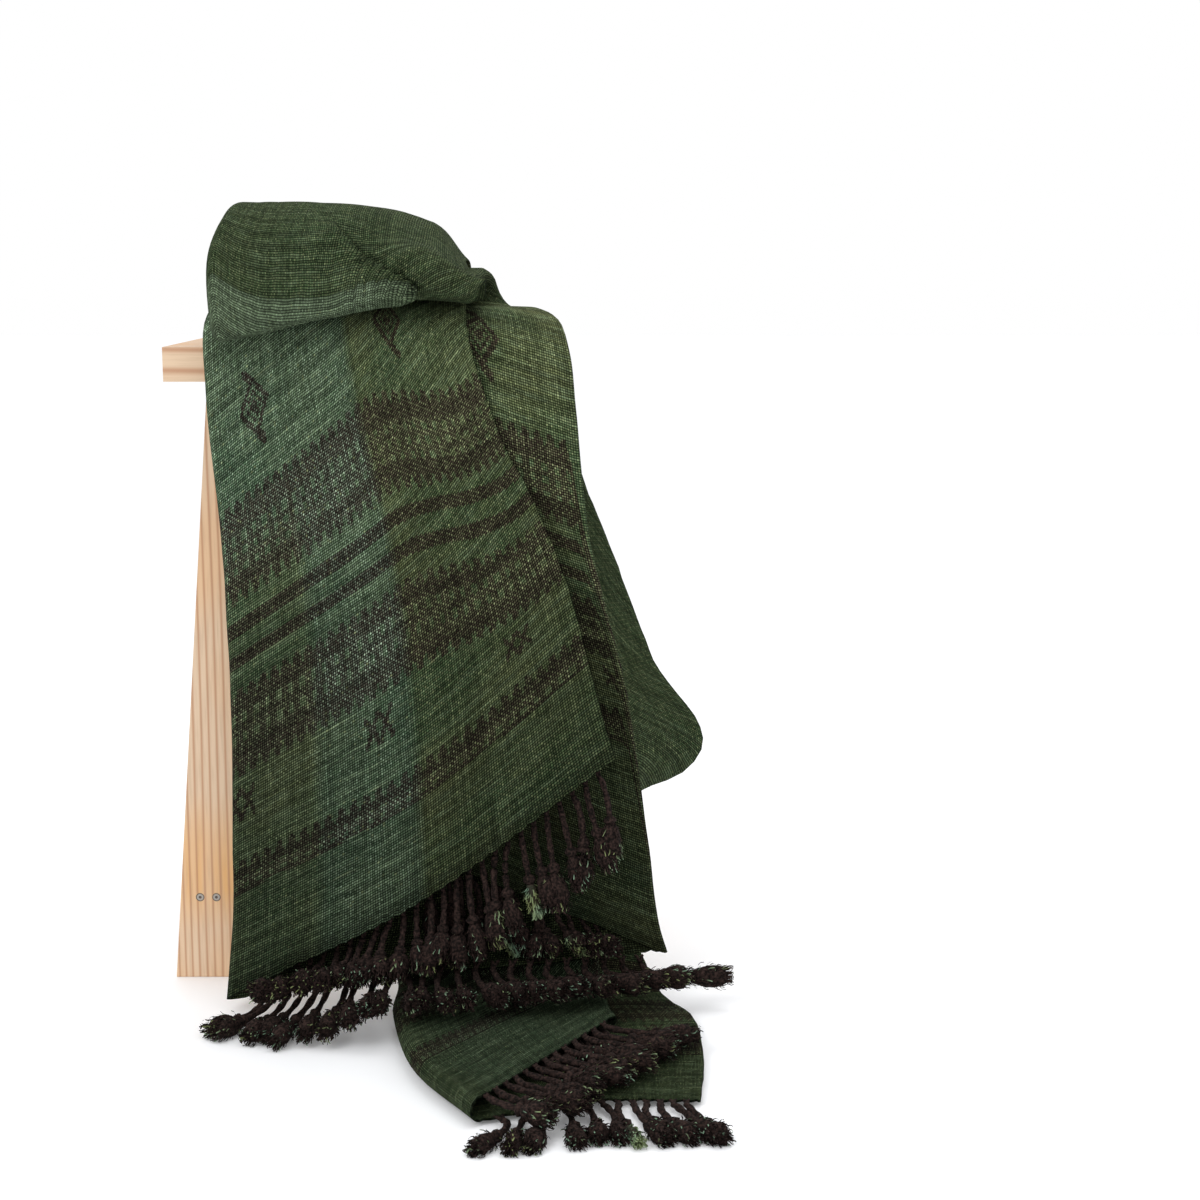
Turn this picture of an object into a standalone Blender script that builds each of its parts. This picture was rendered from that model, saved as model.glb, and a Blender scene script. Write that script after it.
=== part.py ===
"""Wool throw blanket folded in three, puffed on top of a plain wooden stool and hanging over its edge.

Metres, +Z up. The tables below use x from a line 193 mm right of the seat's left end, y back from the
seat's front edge and z up from the floor; centre_on_floor() then moves the whole so that its box is
centred over the origin.
"""
import math

import bmesh
import bpy
import numpy as np
from mathutils import Vector

# Stool
SEAT_LEFT = -0.193
SEAT_RIGHT = 0.165
SEAT_DEPTH = 0.300
SEAT_TOP = 0.620
SEAT_THICK = 0.032
LEG_WIDTH = 0.070
LEG_THICK = 0.020
LEG_TOP_IN = 0.037
LEG_FOOT_OUT = 0.013
LEG_INSET = 0.020
RAIL_HEIGHT = 0.045
RAIL_THICK = 0.018
RAIL_LOW = 0.068
RAIL_INSET = 0.026
PIECE_GAP = 0.0004

# Throw
CLOTH_THICK = 0.003
FRONT_LAYER = 0.008
INNER_LAYER = 0.001
REAR_LAYER = -0.008
STRAND_SAG = 0.2
ROWS_PER_STATION = 2
STRIP_GAP = 0.0006
STRIP_WIDTH = 0.006
END_PART = 0.04

# Guide positions of the cloth's columns on the flap, the middle panel and the inner one, and how far from
# each fold its own columns lie
FLAP_COLUMNS = (0.0, 0.15, 0.35, 0.55, 0.75, 0.95, 1.15, 1.35, 1.55, 1.75)
MIDDLE_COLUMNS = (2.35, 2.65, 2.95, 3.25, 3.5, 3.7)
INNER_COLUMNS = (4.3, 4.55, 4.8, 5.0)
FOLD_COLUMNS = (0.010, 0.028, 0.060, 0.120)

# Fringe
STRAND_WIDTH = 0.0050
STRAND_THICK = 0.0040
BRUSH_WIDTH = 0.0115
BRUSH_THICK = 0.0060
CORD_MIDDLE = 0.35
NECK_AT = 0.66
KNOT_AT = 0.72
KNOT_SHARE = 0.75
FLOOR_CLEAR = 0.0003

GUIDES = ("selvedge", "bend", "left", "middle", "right", "inner")

# The throw's path from its first fringed end to its second: the folded strip's middle surface in side
# view, and how far to the right each guide line lies there.
# name, y, z, selvedge, bend, left, middle, right, inner
PATH = (
    ("first_end", -0.046, 0.012, 0.227, 0.050, -0.138, 0.052, 0.276, 0.020),
    ("ankle", -0.045, 0.075, 0.216, 0.048, -0.136, 0.064, 0.268, 0.005),
    ("shin", -0.044, 0.160, 0.203, 0.045, -0.134, 0.055, 0.258, -0.015),
    ("knee", -0.043, 0.300, 0.180, 0.035, -0.132, 0.045, 0.238, -0.060),
    ("thigh", -0.043, 0.450, 0.143, 0.015, -0.137, 0.025, 0.202, -0.090),
    ("rim_front", -0.043, 0.580, 0.110, -0.010, -0.145, 0.015, 0.190, -0.105),
    ("rim_top", -0.036, 0.641, 0.092, -0.020, -0.145, 0.010, 0.184, -0.110),
    ("rim_back", -0.010, 0.656, 0.090, -0.025, -0.141, 0.010, 0.178, -0.105),
    ("on_seat", 0.045, 0.655, 0.092, -0.030, -0.138, 0.010, 0.156, -0.100),
    ("turn_low", 0.096, 0.654, 0.096, -0.030, -0.130, 0.004, 0.128, -0.095),
    ("turn_in", 0.106, 0.658, 0.096, -0.030, -0.130, 0.003, 0.122, -0.093),
    ("turn", 0.110, 0.667, 0.096, -0.030, -0.130, 0.002, 0.114, -0.090),
    ("turn_out", 0.106, 0.676, 0.096, -0.030, -0.130, 0.001, 0.110, -0.090),
    ("turn_high", 0.096, 0.680, 0.097, -0.030, -0.130, 0.000, 0.106, -0.090),
    ("tongue", 0.040, 0.678, 0.102, -0.030, -0.134, -0.010, 0.098, -0.095),
    ("tongue_front", -0.012, 0.677, 0.103, -0.030, -0.136, -0.012, 0.090, -0.098),
    ("lip_low", -0.045, 0.675, 0.104, -0.030, -0.130, -0.015, 0.088, -0.100),
    ("lip", -0.068, 0.688, 0.107, -0.030, -0.129, -0.020, 0.082, -0.105),
    ("roll_front", -0.062, 0.716, 0.112, -0.030, -0.135, -0.020, 0.080, -0.105),
    ("roll_brow", -0.020, 0.738, 0.110, -0.030, -0.128, -0.020, 0.080, -0.105),
    ("roll_top", 0.050, 0.742, 0.106, -0.030, -0.122, -0.015, 0.080, -0.100),
    ("roll_back", 0.125, 0.732, 0.104, -0.030, -0.130, -0.005, 0.088, -0.095),
    ("back", 0.186, 0.702, 0.106, -0.020, -0.128, 0.000, 0.096, -0.090),
    ("back_low", 0.213, 0.662, 0.106, -0.010, -0.128, 0.005, 0.103, -0.090),
    ("rear_turn", 0.203, 0.642, 0.107, -0.010, -0.128, 0.010, 0.106, -0.090),
    ("rear_seat", 0.178, 0.634, 0.108, -0.010, -0.128, 0.010, 0.109, -0.090),
    ("under", 0.100, 0.632, 0.111, -0.005, -0.128, 0.015, 0.112, -0.090),
    ("edge_top", 0.010, 0.632, 0.116, 0.020, -0.128, 0.020, 0.119, -0.090),
    ("edge", -0.011, 0.6265, 0.121, 0.035, -0.126, 0.020, 0.125, -0.088),
    ("edge_front", -0.016, 0.600, 0.148, 0.060, -0.124, 0.020, 0.140, -0.085),
    ("rear_high", -0.015, 0.470, 0.206, 0.140, -0.110, 0.020, 0.186, -0.080),
    ("rear_mid", -0.015, 0.310, 0.266, 0.165, -0.100, 0.030, 0.200, -0.065),
    ("rear_flare", -0.015, 0.212, 0.308, 0.175, -0.080, 0.045, 0.205, -0.045),
    ("rear_tuck", -0.015, 0.176, 0.252, 0.172, -0.065, 0.055, 0.206, -0.025),
    ("rear_low", -0.016, 0.070, 0.238, 0.168, -0.010, 0.085, 0.208, 0.020),
    ("floor_turn", -0.030, 0.024, 0.262, 0.168, 0.016, 0.105, 0.212, 0.045),
    ("floor", -0.110, 0.015, 0.300, 0.180, 0.024, 0.120, 0.220, 0.065),
    ("floor_out", -0.210, 0.014, 0.304, 0.205, 0.055, 0.140, 0.224, 0.095),
    ("second_end", -0.285, 0.013, 0.298, 0.220, 0.108, 0.165, 0.226, 0.140),
)

# Where one guide line leaves the path by dy and dz at a station; the pull fades to nothing at the second
# station named.
# guide, at, fades to, dy, dz
PULLS = (
    ("selvedge", "first_end", "rim_front", -0.036, 0.237),
    ("bend", "first_end", "rim_front", -0.044, 0.105),
    ("left", "first_end", "ankle", -0.026, 0.000),
    ("middle", "first_end", "ankle", -0.030, 0.032),
    ("right", "first_end", "ankle", 0.000, 0.036),
    ("inner", "first_end", "rim_front", -0.004, 0.145),
    ("selvedge", "rear_flare", "edge_front", 0.110, 0.000),
    ("selvedge", "rear_flare", "floor_turn", 0.110, 0.000),
    ("left", "second_end", "floor_turn", -0.040, 0.000),
    ("middle", "second_end", "floor", 0.050, 0.000),
    ("right", "second_end", "floor", 0.150, 0.000),
    ("inner", "second_end", "floor", 0.110, 0.000),
    ("left", "lip", "lip_low", -0.014, -0.034),
    ("left", "lip", "roll_brow", -0.014, -0.034),
    ("left", "lip_low", "tongue_front", -0.009, -0.014),
    ("middle", "lip", "lip_low", -0.004, -0.012),
    ("middle", "lip", "roll_brow", -0.004, -0.012),
    ("middle", "lip_low", "tongue_front", -0.003, -0.004),
    ("right", "roll_brow", "lip_low", 0.006, -0.028),
    ("right", "roll_brow", "back", 0.006, -0.028),
    ("right", "rim_top", "thigh", 0.000, -0.016),
    ("right", "rim_top", "on_seat", 0.000, -0.016),
)

# Soft folds and dents: each pushes the layers along their own normals around one place.
# station, part way to the next, x, push, reach in stations, reach along x, slope of x per station
DENTS = (
    ("roll_front", 0.6, 0.020, -0.011, 1.2, 0.036, 0.022),
    ("shin", 0.2, 0.050, 0.006, 1.6, 0.060, 0.0),
    ("knee", 0.3, 0.120, -0.005, 1.2, 0.035, 0.0),
)

# Fringes: name, guide positions that the strip runs between, 0 for the throw's first end and 1 for its
# second, number of strands.
FRINGES = (
    ("fringe_front_flap", 0.04, 1.70, 0, 24),
    ("fringe_front_middle", 2.12, 3.94, 0, 24),
    ("fringe_front_inner", 4.22, 4.92, 0, 13),
    ("fringe_rear_flap", 0.05, 1.92, 1, 12),
    ("fringe_rear_middle", 2.08, 3.92, 1, 13),
    ("fringe_rear_inner", 4.10, 4.90, 1, 6),
)

# How each fringe's strands lie: at, a share of the way along the strip; dx, dy, dz from root to tip.
# at, dx, dy, dz
TIPS = {
    "fringe_front_flap": (
        (0.00, 0.020, -0.004, -0.082),
        (0.40, 0.008, -0.006, -0.080),
        (0.60, 0.000, -0.018, -0.055),
        (0.85, -0.006, -0.060, -0.008),
        (1.00, -0.034, -0.060, 0.006),
    ),
    "fringe_front_middle": (
        (0.00, -0.045, -0.055, -0.007),
        (0.26, -0.015, -0.085, -0.024),
        (0.36, 0.000, -0.088, 0.000),
        (0.50, 0.010, -0.088, 0.000),
        (0.80, 0.045, -0.055, 0.000),
        (1.00, 0.080, 0.005, -0.012),
    ),
    "fringe_front_inner": (
        (0.00, 0.020, -0.040, 0.004),
        (0.50, 0.010, -0.020, -0.045),
        (1.00, 0.000, -0.008, -0.070),
    ),
    "fringe_rear_flap": (
        (0.00, 0.030, -0.065, 0.000),
        (0.60, 0.010, -0.072, 0.000),
        (1.00, -0.020, -0.050, 0.000),
    ),
    "fringe_rear_middle": (
        (0.00, 0.050, -0.040, 0.000),
        (1.00, 0.080, -0.020, 0.000),
    ),
    "fringe_rear_inner": (
        (0.00, 0.030, -0.070, 0.000),
        (1.00, 0.010, -0.075, 0.000),
    ),
}

# name, base colour, roughness
MATERIALS = {
    "wool_green": ((0.055, 0.095, 0.052), 0.95),
    "wool_dark": ((0.030, 0.020, 0.018), 0.95),
    "pine": ((0.72, 0.50, 0.31), 0.55),
}


def clear_scene():
    for ob in list(bpy.data.objects):
        bpy.data.objects.remove(ob, do_unlink=True)


def make_material(name):
    colour, roughness = MATERIALS[name]
    mat = bpy.data.materials.new(name)
    mat.use_nodes = True
    shader = mat.node_tree.nodes["Principled BSDF"]
    shader.inputs["Base Color"].default_value = (*colour, 1.0)
    shader.inputs["Roughness"].default_value = roughness
    return mat


def add_object(name, verts, faces, mat):
    mesh = bpy.data.meshes.new(name)
    mesh.from_pydata([tuple(v) for v in verts], [], faces)
    mesh.validate()
    bm = bmesh.new()
    bm.from_mesh(mesh)
    bmesh.ops.recalc_face_normals(bm, faces=bm.faces)
    bm.to_mesh(mesh)
    bm.free()
    ob = bpy.data.objects.new(name, mesh)
    ob.data.materials.append(mat)
    bpy.context.scene.collection.objects.link(ob)
    return ob


def board(name, corners, thick_axis_from, thick_axis_to, mat):
    """A board whose outline is corners in x and z, between two y values."""
    count = len(corners)
    verts = [(x, thick_axis_from, z) for x, z in corners] + [(x, thick_axis_to, z) for x, z in corners]
    faces = [tuple(range(count)), tuple(reversed(range(count, 2 * count)))]
    faces += [(i, i + count, (i + 1) % count + count, (i + 1) % count) for i in range(count)]
    return add_object(name, verts, faces, mat)


def leg_outer(side, z):
    """How far along x a leg's outer edge is at a height, for side -1 or 1."""
    share = z / (SEAT_TOP - SEAT_THICK)
    seat_end = SEAT_RIGHT if side > 0 else SEAT_LEFT
    return seat_end + side * (LEG_FOOT_OUT - (LEG_FOOT_OUT + LEG_TOP_IN) * share)


def make_stool(mat):
    under = SEAT_TOP - SEAT_THICK
    outline = [(SEAT_LEFT, under), (SEAT_RIGHT, under), (SEAT_RIGHT, SEAT_TOP), (SEAT_LEFT, SEAT_TOP)]
    parts = [board("seat", outline, 0.0, SEAT_DEPTH, mat)]
    top = under - PIECE_GAP
    front = LEG_INSET
    back = SEAT_DEPTH - LEG_INSET - LEG_THICK
    for name, side in (("left", -1), ("right", 1)):
        foot, head = leg_outer(side, 0), leg_outer(side, top)
        leg = [(foot, 0.0), (foot - side * LEG_WIDTH, 0.0), (head - side * LEG_WIDTH, top), (head, top)]
        parts.append(board(f"leg_{name}_front", leg, front, front + LEG_THICK, mat))
        parts.append(board(f"leg_{name}_back", leg, back, back + LEG_THICK, mat))
        for level, low in (("low", RAIL_LOW), ("high", top - RAIL_HEIGHT)):
            high = low + RAIL_HEIGHT - PIECE_GAP
            near = leg_outer(side, high) - side * RAIL_INSET
            far = near - side * RAIL_THICK
            rail = [(near, low), (far, low), (far, high), (near, high)]
            rail_front = front + LEG_THICK + PIECE_GAP
            parts.append(board(f"rail_{name}_{level}", rail, rail_front, back - PIECE_GAP, mat))
    return parts


def station_index(name):
    return [row[0] for row in PATH].index(name)


def guide_points():
    """One row of points per station, one column per guide."""
    points = np.zeros((len(PATH), len(GUIDES), 3))
    for i, (_, y, z, *across) in enumerate(PATH):
        for k, x in enumerate(across):
            points[i, k] = (x, y, z)
    lengths = station_lengths(points)
    for guide, at, to, dy, dz in PULLS:
        k = GUIDES.index(guide)
        a, b = station_index(at), station_index(to)
        step = 1 if b > a else -1
        for i in range(a, b, step):
            if i == a and pulled_before(guide, at, to):
                continue
            fade = (lengths[b] - lengths[i]) / (lengths[b] - lengths[a])
            points[i, k, 1] += dy * fade
            points[i, k, 2] += dz * fade
    return points


def pulled_before(guide, at, to):
    """Whether an earlier row already pulls this guide at this station, towards the other side."""
    for other_guide, other_at, other_to, *_ in PULLS:
        if (other_guide, other_at) == (guide, at):
            return other_to != to
    return False


def station_lengths(points):
    steps = np.linalg.norm(np.diff(points[:, 2:5].mean(axis=1), axis=0), axis=1)
    return np.concatenate([[0.0], np.cumsum(steps)])


def smooth_rows(points, lengths, places):
    """Points along each guide at the given places, which are station numbers with fractions."""
    h = np.diff(lengths)[:, None, None]
    slope = np.diff(points, axis=0) / h
    tangent = np.zeros_like(points)
    tangent[1:-1] = (slope[1:] * h[:-1] + slope[:-1] * h[1:]) / (h[1:] + h[:-1])
    tangent[0] = slope[0]
    tangent[-1] = slope[-1]
    rows = []
    for place in places:
        i = min(int(place), len(points) - 2)
        t = place - i
        step = lengths[i + 1] - lengths[i]
        a = (1 + 2 * t) * (1 - t) ** 2
        b = t * (1 - t) ** 2 * step
        c = t * t * (3 - 2 * t)
        d = t * t * (t - 1) * step
        rows.append(a * points[i] + b * tangent[i] + c * points[i + 1] + d * tangent[i + 1])
    return np.array(rows)


def unit(v):
    return v / np.maximum(np.linalg.norm(v, axis=-1, keepdims=True), 1e-9)


def guide_normals(rows):
    """The side that the front flap lies on, for each row and guide."""
    along = unit(np.gradient(rows, axis=0))
    across = unit(rows[:, 4] - rows[:, 2])[:, None, :]
    return unit(np.cross(np.broadcast_to(across, along.shape), along))


def fold_rise(distance, radius):
    """How far a rounded fold has risen at a distance from its apex."""
    if distance >= radius:
        return radius
    return math.sqrt(radius * radius - (radius - distance) ** 2)


def layer_offset(row, u):
    """How far from the strip's middle surface the cloth lies at guide position u of a row."""
    turn = (REAR_LAYER + INNER_LAYER) / 2
    if u <= 2:
        return fold_rise((2 - u) * np.linalg.norm(row[1] - row[2]), FRONT_LAYER)
    if u <= 3:
        return -fold_rise((u - 2) * np.linalg.norm(row[3] - row[2]), -REAR_LAYER)
    if u <= 4:
        return turn - fold_rise((4 - u) * np.linalg.norm(row[4] - row[3]), turn - REAR_LAYER)
    return turn + fold_rise((u - 4) * np.linalg.norm(row[5] - row[4]), INNER_LAYER - turn)


def columns():
    """Guide positions of the cloth's columns, closer together at the two folds."""
    out = list(FLAP_COLUMNS + MIDDLE_COLUMNS + INNER_COLUMNS)
    for fold in (2, 4):
        out.append(fold)
        out += [fold - step for step in FOLD_COLUMNS]
        out += [fold + step for step in FOLD_COLUMNS]
    return sorted(out)


def through_three(a, b, c, at, t):
    """A curve through a at 0, b at `at` and c at 1 that never overshoots them."""
    h, k = at, 1 - at
    before, after = (b - a) / h, (c - b) / k
    same = before * after > 0
    slope = np.where(same, 2 * before * after / np.where(same, before + after, 1.0), 0.0)
    if t <= at:
        p, q, m, n, s, width = a, b, before, slope, t / h, h
    else:
        p, q, m, n, s, width = b, c, slope, after, (t - at) / k, k
    keep = p * (1 + 2 * s) * (1 - s) ** 2 + q * s * s * (3 - 2 * s)
    return keep + width * (m * s * (1 - s) ** 2 + n * s * s * (s - 1))


def between(row, u):
    """A row's value at guide position u."""
    if u <= 2:
        return through_three(row[0], row[1], row[2], 0.5, u / 2)
    if u <= 4:
        return through_three(row[2], row[3], row[4], 0.5, (u - 2) / 2)
    return row[4] + (row[5] - row[4]) * (u - 4)


def on_strip(row, normals, x):
    """The strip's middle surface and its normal at x, as the left, middle and right guides set them."""
    left, middle, right = row[2], row[3], row[4]
    t = (x - left[0]) / (right[0] - left[0])
    at = (middle[0] - left[0]) / (right[0] - left[0])
    held = min(max(t, 0.0), 1.0)
    point = through_three(left, middle, right, at, held) + (right - middle) / (1 - at) * max(t - 1, 0.0)
    normal = through_three(normals[2], normals[3], normals[4], at, held)
    return np.array([x, point[1], point[2]]), normal


def strip_share(place):
    """How closely the flap and the inner panel follow the middle one: fully where the throw lies folded
    on the seat, not at all where it hangs."""
    first, second = station_index("rim_top"), station_index("edge")
    if place < first:
        return max(0.0, 1 - (first - place) / 2)
    return max(0.0, 1 - max(0.0, place - second) / 2)


def dent(place, x):
    push = 0.0
    for name, part, across, depth, reach, width, slope in DENTS:
        ahead = place - station_index(name) - part
        aside = (x - across - slope * ahead) / width
        push += depth * math.exp(-(ahead / reach) ** 2 - aside * aside)
    return push


def cloth_grid(places, cols):
    """The cloth's middle surface on a grid of rows and columns."""
    points = guide_points()
    rows = smooth_rows(points, station_lengths(points), places)
    normals = guide_normals(rows)
    normals[:, 0] = normals[:, 1]
    normals[:, 5] = normals[:, 3]
    grid = np.zeros((len(places), len(cols), 3))
    for i, place in enumerate(places):
        share = strip_share(place)
        for j, u in enumerate(cols):
            point = between(rows[i], u)
            n = between(normals[i], u)
            if u < 2 or u > 4:
                strip_point, strip_n = on_strip(rows[i], normals[i], point[0])
                point = point + (strip_point - point) * share
                n = n + (strip_n - n) * share
            grid[i, j] = point + unit(n) * (layer_offset(rows[i], u) + dent(place, point[0]))
    return grid


def grid_normals(grid):
    """Normals at the grid's points, each the mean of those of the cells around it."""
    cells = unit(np.cross(grid[1:, 1:] - grid[:-1, :-1], grid[1:, :-1] - grid[:-1, 1:]))
    total = np.zeros_like(grid)
    for rows in (slice(0, -1), slice(1, None)):
        for cols in (slice(0, -1), slice(1, None)):
            total[rows, cols] += cells
    return unit(total)


def sheet_solid(name, grid, thick, mat):
    """A closed sheet on a grid of points."""
    n = grid_normals(grid) * (thick / 2)
    rows, cols = grid.shape[:2]
    verts = np.concatenate([(grid + n).reshape(-1, 3), (grid - n).reshape(-1, 3)])
    under = rows * cols
    faces = []

    def at(i, j):
        return i * cols + j

    for i in range(rows - 1):
        for j in range(cols - 1):
            a, b, c, d = at(i, j), at(i, j + 1), at(i + 1, j + 1), at(i + 1, j)
            for tri in ((a, b, c), (a, c, d)):
                faces.append(tri)
                faces.append(tuple(v + under for v in reversed(tri)))
    rim = [at(0, j) for j in range(cols)] + [at(i, cols - 1) for i in range(1, rows)]
    rim += [at(rows - 1, j) for j in range(cols - 2, -1, -1)] + [at(i, 0) for i in range(rows - 2, 0, -1)]
    for a, b in zip(rim, rim[1:] + rim[:1]):
        faces.append((a, a + under, b + under, b))
    return add_object(name, verts, faces, mat)


def cloth_places():
    count = (len(PATH) - 1) * ROWS_PER_STATION
    return [i / ROWS_PER_STATION for i in range(count + 1)]


def tip_vector(name, at):
    rows = TIPS[name]
    shares = [row[0] for row in rows]
    return np.array([np.interp(at, shares, [row[k] for row in rows]) for k in (1, 2, 3)])


def strand_sections(root, out, tip):
    """Centre, width and thickness of a strand's sections from its root to its brush end."""
    length = np.linalg.norm(tip)
    bend = root + out * length * STRAND_SAG
    end = root + tip
    sections = []
    for t, width, thick in (
        (CORD_MIDDLE, STRAND_WIDTH, STRAND_THICK),
        (NECK_AT, STRAND_WIDTH, STRAND_THICK),
        (KNOT_AT, BRUSH_WIDTH * KNOT_SHARE, BRUSH_THICK),
        (1.0, BRUSH_WIDTH, BRUSH_THICK),
    ):
        centre = root * (1 - t) ** 2 + bend * 2 * t * (1 - t) + end * t * t
        sections.append((centre, width, thick))
    return sections


def fringe(name, first, last, second_end, strands, mat):
    """A narrow strip along one panel's fringed edge, with a strand from every other part of its rim."""
    parts = 2 * strands + 1
    cols = np.linspace(first, last, parts + 1)
    total = len(PATH) - 1
    places = [total - END_PART, total] if second_end else [END_PART, 0.0]
    edge = cloth_grid(places + [places[1]], cols)[:2]
    out = unit(edge[1] - edge[0])
    side = unit(np.gradient(edge[1], axis=0))
    up = unit(np.cross(side, out))
    start = edge[1] + out * STRIP_GAP
    stop = start + out * STRIP_WIDTH
    half = CLOTH_THICK / 2
    verts, faces = [], []
    for near, far, n in zip(start, stop, up):
        verts += [near + n * half, near - n * half, far - n * half, far + n * half]
    for i in range(parts):
        a, b = 4 * i, 4 * (i + 1)
        quads = [(0, 1), (1, 2), (3, 0)]
        faces += [(a + p, a + q, b + q, b + p) for p, q in quads]
        rim = (a + 2, a + 3, b + 3, b + 2)
        if i % 2 == 0:
            faces.append(rim)
            continue
        share = (i + 0.5) / parts
        root = (stop[i] + stop[i + 1]) / 2
        direction = unit(out[i] + out[i + 1])
        tip = tip_vector(name, share)
        previous = rim
        wide = unit(stop[i + 1] - stop[i])
        for centre, width, thick in strand_sections(root, direction, tip):
            heading = unit(centre - np.mean([verts[v] for v in previous], axis=0))
            across = unit(wide - heading * np.dot(wide, heading))
            lift = unit(np.cross(across, heading))
            base = len(verts)
            ring = [(-1, -1), (-1, 1), (1, 1), (1, -1)]
            for s, t in ring:
                verts.append(centre + across * s * width / 2 + lift * t * thick / 2)
            verts[base:base + 4] = match_ring([verts[v] for v in previous], verts[base:base + 4])
            new = (base, base + 1, base + 2, base + 3)
            faces += [(previous[k], previous[(k + 1) % 4], new[(k + 1) % 4], new[k]) for k in range(4)]
            previous = new
        faces.append(previous)
    faces += [(0, 3, 2, 1), tuple(4 * parts + k for k in range(4))]
    verts = np.array(verts)
    verts[:, 2] = np.maximum(verts[:, 2], FLOOR_CLEAR)
    return add_object(name, verts, faces, mat)


def match_ring(previous, ring):
    """The ring's corners in the order that lies closest to the section before it."""
    orders = [ring[k:] + ring[:k] for k in range(4)]
    flipped = ring[::-1]
    orders += [flipped[k:] + flipped[:k] for k in range(4)]
    return min(orders, key=lambda order: sum(np.linalg.norm(a - b) for a, b in zip(previous, order)))


def centre_on_floor(objects):
    low = np.min([np.array(v.co) for ob in objects for v in ob.data.vertices], axis=0)
    high = np.max([np.array(v.co) for ob in objects for v in ob.data.vertices], axis=0)
    shift = Vector((-(low[0] + high[0]) / 2, -(low[1] + high[1]) / 2, 0.0))
    for ob in objects:
        for vert in ob.data.vertices:
            vert.co += shift


def main():
    clear_scene()
    mats = {name: make_material(name) for name in MATERIALS}
    objects = make_stool(mats["pine"])
    cloth = cloth_grid(cloth_places(), columns())
    objects.append(sheet_solid("throw", cloth, CLOTH_THICK, mats["wool_green"]))
    for name, first, last, second_end, strands in FRINGES:
        objects.append(fringe(name, first, last, second_end, strands, mats["wool_dark"]))
    centre_on_floor(objects)


main()
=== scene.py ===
import math
import random
from functools import partialmethod

import bpy
import numpy as np
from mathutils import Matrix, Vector, noise


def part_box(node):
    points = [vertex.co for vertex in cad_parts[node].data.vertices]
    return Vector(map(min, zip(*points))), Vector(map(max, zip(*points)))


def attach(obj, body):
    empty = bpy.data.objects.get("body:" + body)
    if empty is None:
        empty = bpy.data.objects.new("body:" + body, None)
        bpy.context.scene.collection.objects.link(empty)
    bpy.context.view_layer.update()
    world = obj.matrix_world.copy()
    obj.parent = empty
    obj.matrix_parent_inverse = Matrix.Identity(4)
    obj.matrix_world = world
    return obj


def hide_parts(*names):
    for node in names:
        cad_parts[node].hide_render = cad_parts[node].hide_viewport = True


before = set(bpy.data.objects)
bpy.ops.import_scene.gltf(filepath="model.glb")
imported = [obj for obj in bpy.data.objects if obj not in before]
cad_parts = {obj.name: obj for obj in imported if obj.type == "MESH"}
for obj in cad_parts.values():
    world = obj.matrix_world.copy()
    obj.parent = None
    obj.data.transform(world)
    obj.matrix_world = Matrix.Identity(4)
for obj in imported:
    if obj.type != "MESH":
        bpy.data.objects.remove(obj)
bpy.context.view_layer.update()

# The cloth's tables use x from a line on the seat, y back from the seat's front edge and z up from the
# floor. This moves them into the frame.
SEAT_LEFT = -0.193
seat_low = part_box("seat")[0]
SHIFT = np.array([seat_low[0] - SEAT_LEFT, seat_low[1], 0.0])

# Camera, in the tables' own axes
CAMERA_AT = (0.213, -1.8658, 0.7094)
CAMERA_DOWN = math.radians(9.95)
CAMERA_LENS = 60.0

# Cloth
CLOTH_THICK = 0.0022
FRONT_LAYER = 0.008
INNER_LAYER = 0.001
REAR_LAYER = -0.008
ROW_STEP = 0.0105
ROLL_STEP = 0.0055
HEM_SCALLOP = 0.0022
SELVEDGE_WAVE = 0.0012
SELVEDGE_TURNS = 60

# Small unevenness of the cloth: height, turns per metre across and along, seed
UNEVEN = (
    (0.0022, 9, 5, 1.7),
    (0.0005, 34, 26, 5.1),
)

# Columns of the cloth's mesh, as guide positions: from, to, count
COLUMN_RUNS = (
    (0.00, 0.36, 15),
    (0.38, 0.86, 64),
    (0.88, 1.30, 20),
    (1.33, 1.90, 20),
    (2.12, 3.88, 26),
    (4.12, 5.00, 20),
)

# Columns beside a fold, away from its apex
FOLD_STEPS = (0.004, 0.009, 0.016, 0.026, 0.040, 0.060, 0.085)

# Fringe
STRAND_SAG = 0.2
TIP_STRAY = 0.008
BEND_STRAY = 0.010
STRIP_GAP = 0.0006
STRIP_WIDTH = 0.006
ROOT_DEPTH = 0.002
ROOT_RADII = (0.0013, 0.0016, 0.002)
CORD_RADIUS = 0.0029
CORD_TWIST, CORD_LOBES = 0.62, 0.16
CORD_STEPS = 12
KNOT_AT = 0.69
KNOT_RADIUS = 0.0062
KNOT_TWIST, KNOT_LOBES = 1.1, 0.10
BRUSH_FROM = 0.725
BRUSH_RADIUS = 0.0120
BRUSH_TWIST, BRUSH_LOBES = 0.5, 0.08
BRUSH_FIBRES = 190
FIBRE_WIDTH = 0.0013
FIBRE_LENGTH = 0.0072
FIBRE_CURL = 0.30
FIBRE_NARROWS = 0.30
FLOOR_CLEAR = 0.0004

# The knot: off its middle along the strand, share of its radius
KNOT_PROFILE = ((-0.045, 0.45), (-0.020, 0.85), (0.010, 1.00), (0.040, 0.80), (0.060, 0.45))

# The loose end: from the knot to the tip, share of its radius
BRUSH_PROFILE = ((0.00, 0.35), (0.15, 0.70), (0.40, 0.92), (0.65, 1.00), (0.85, 0.92), (0.98, 0.60))

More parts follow.
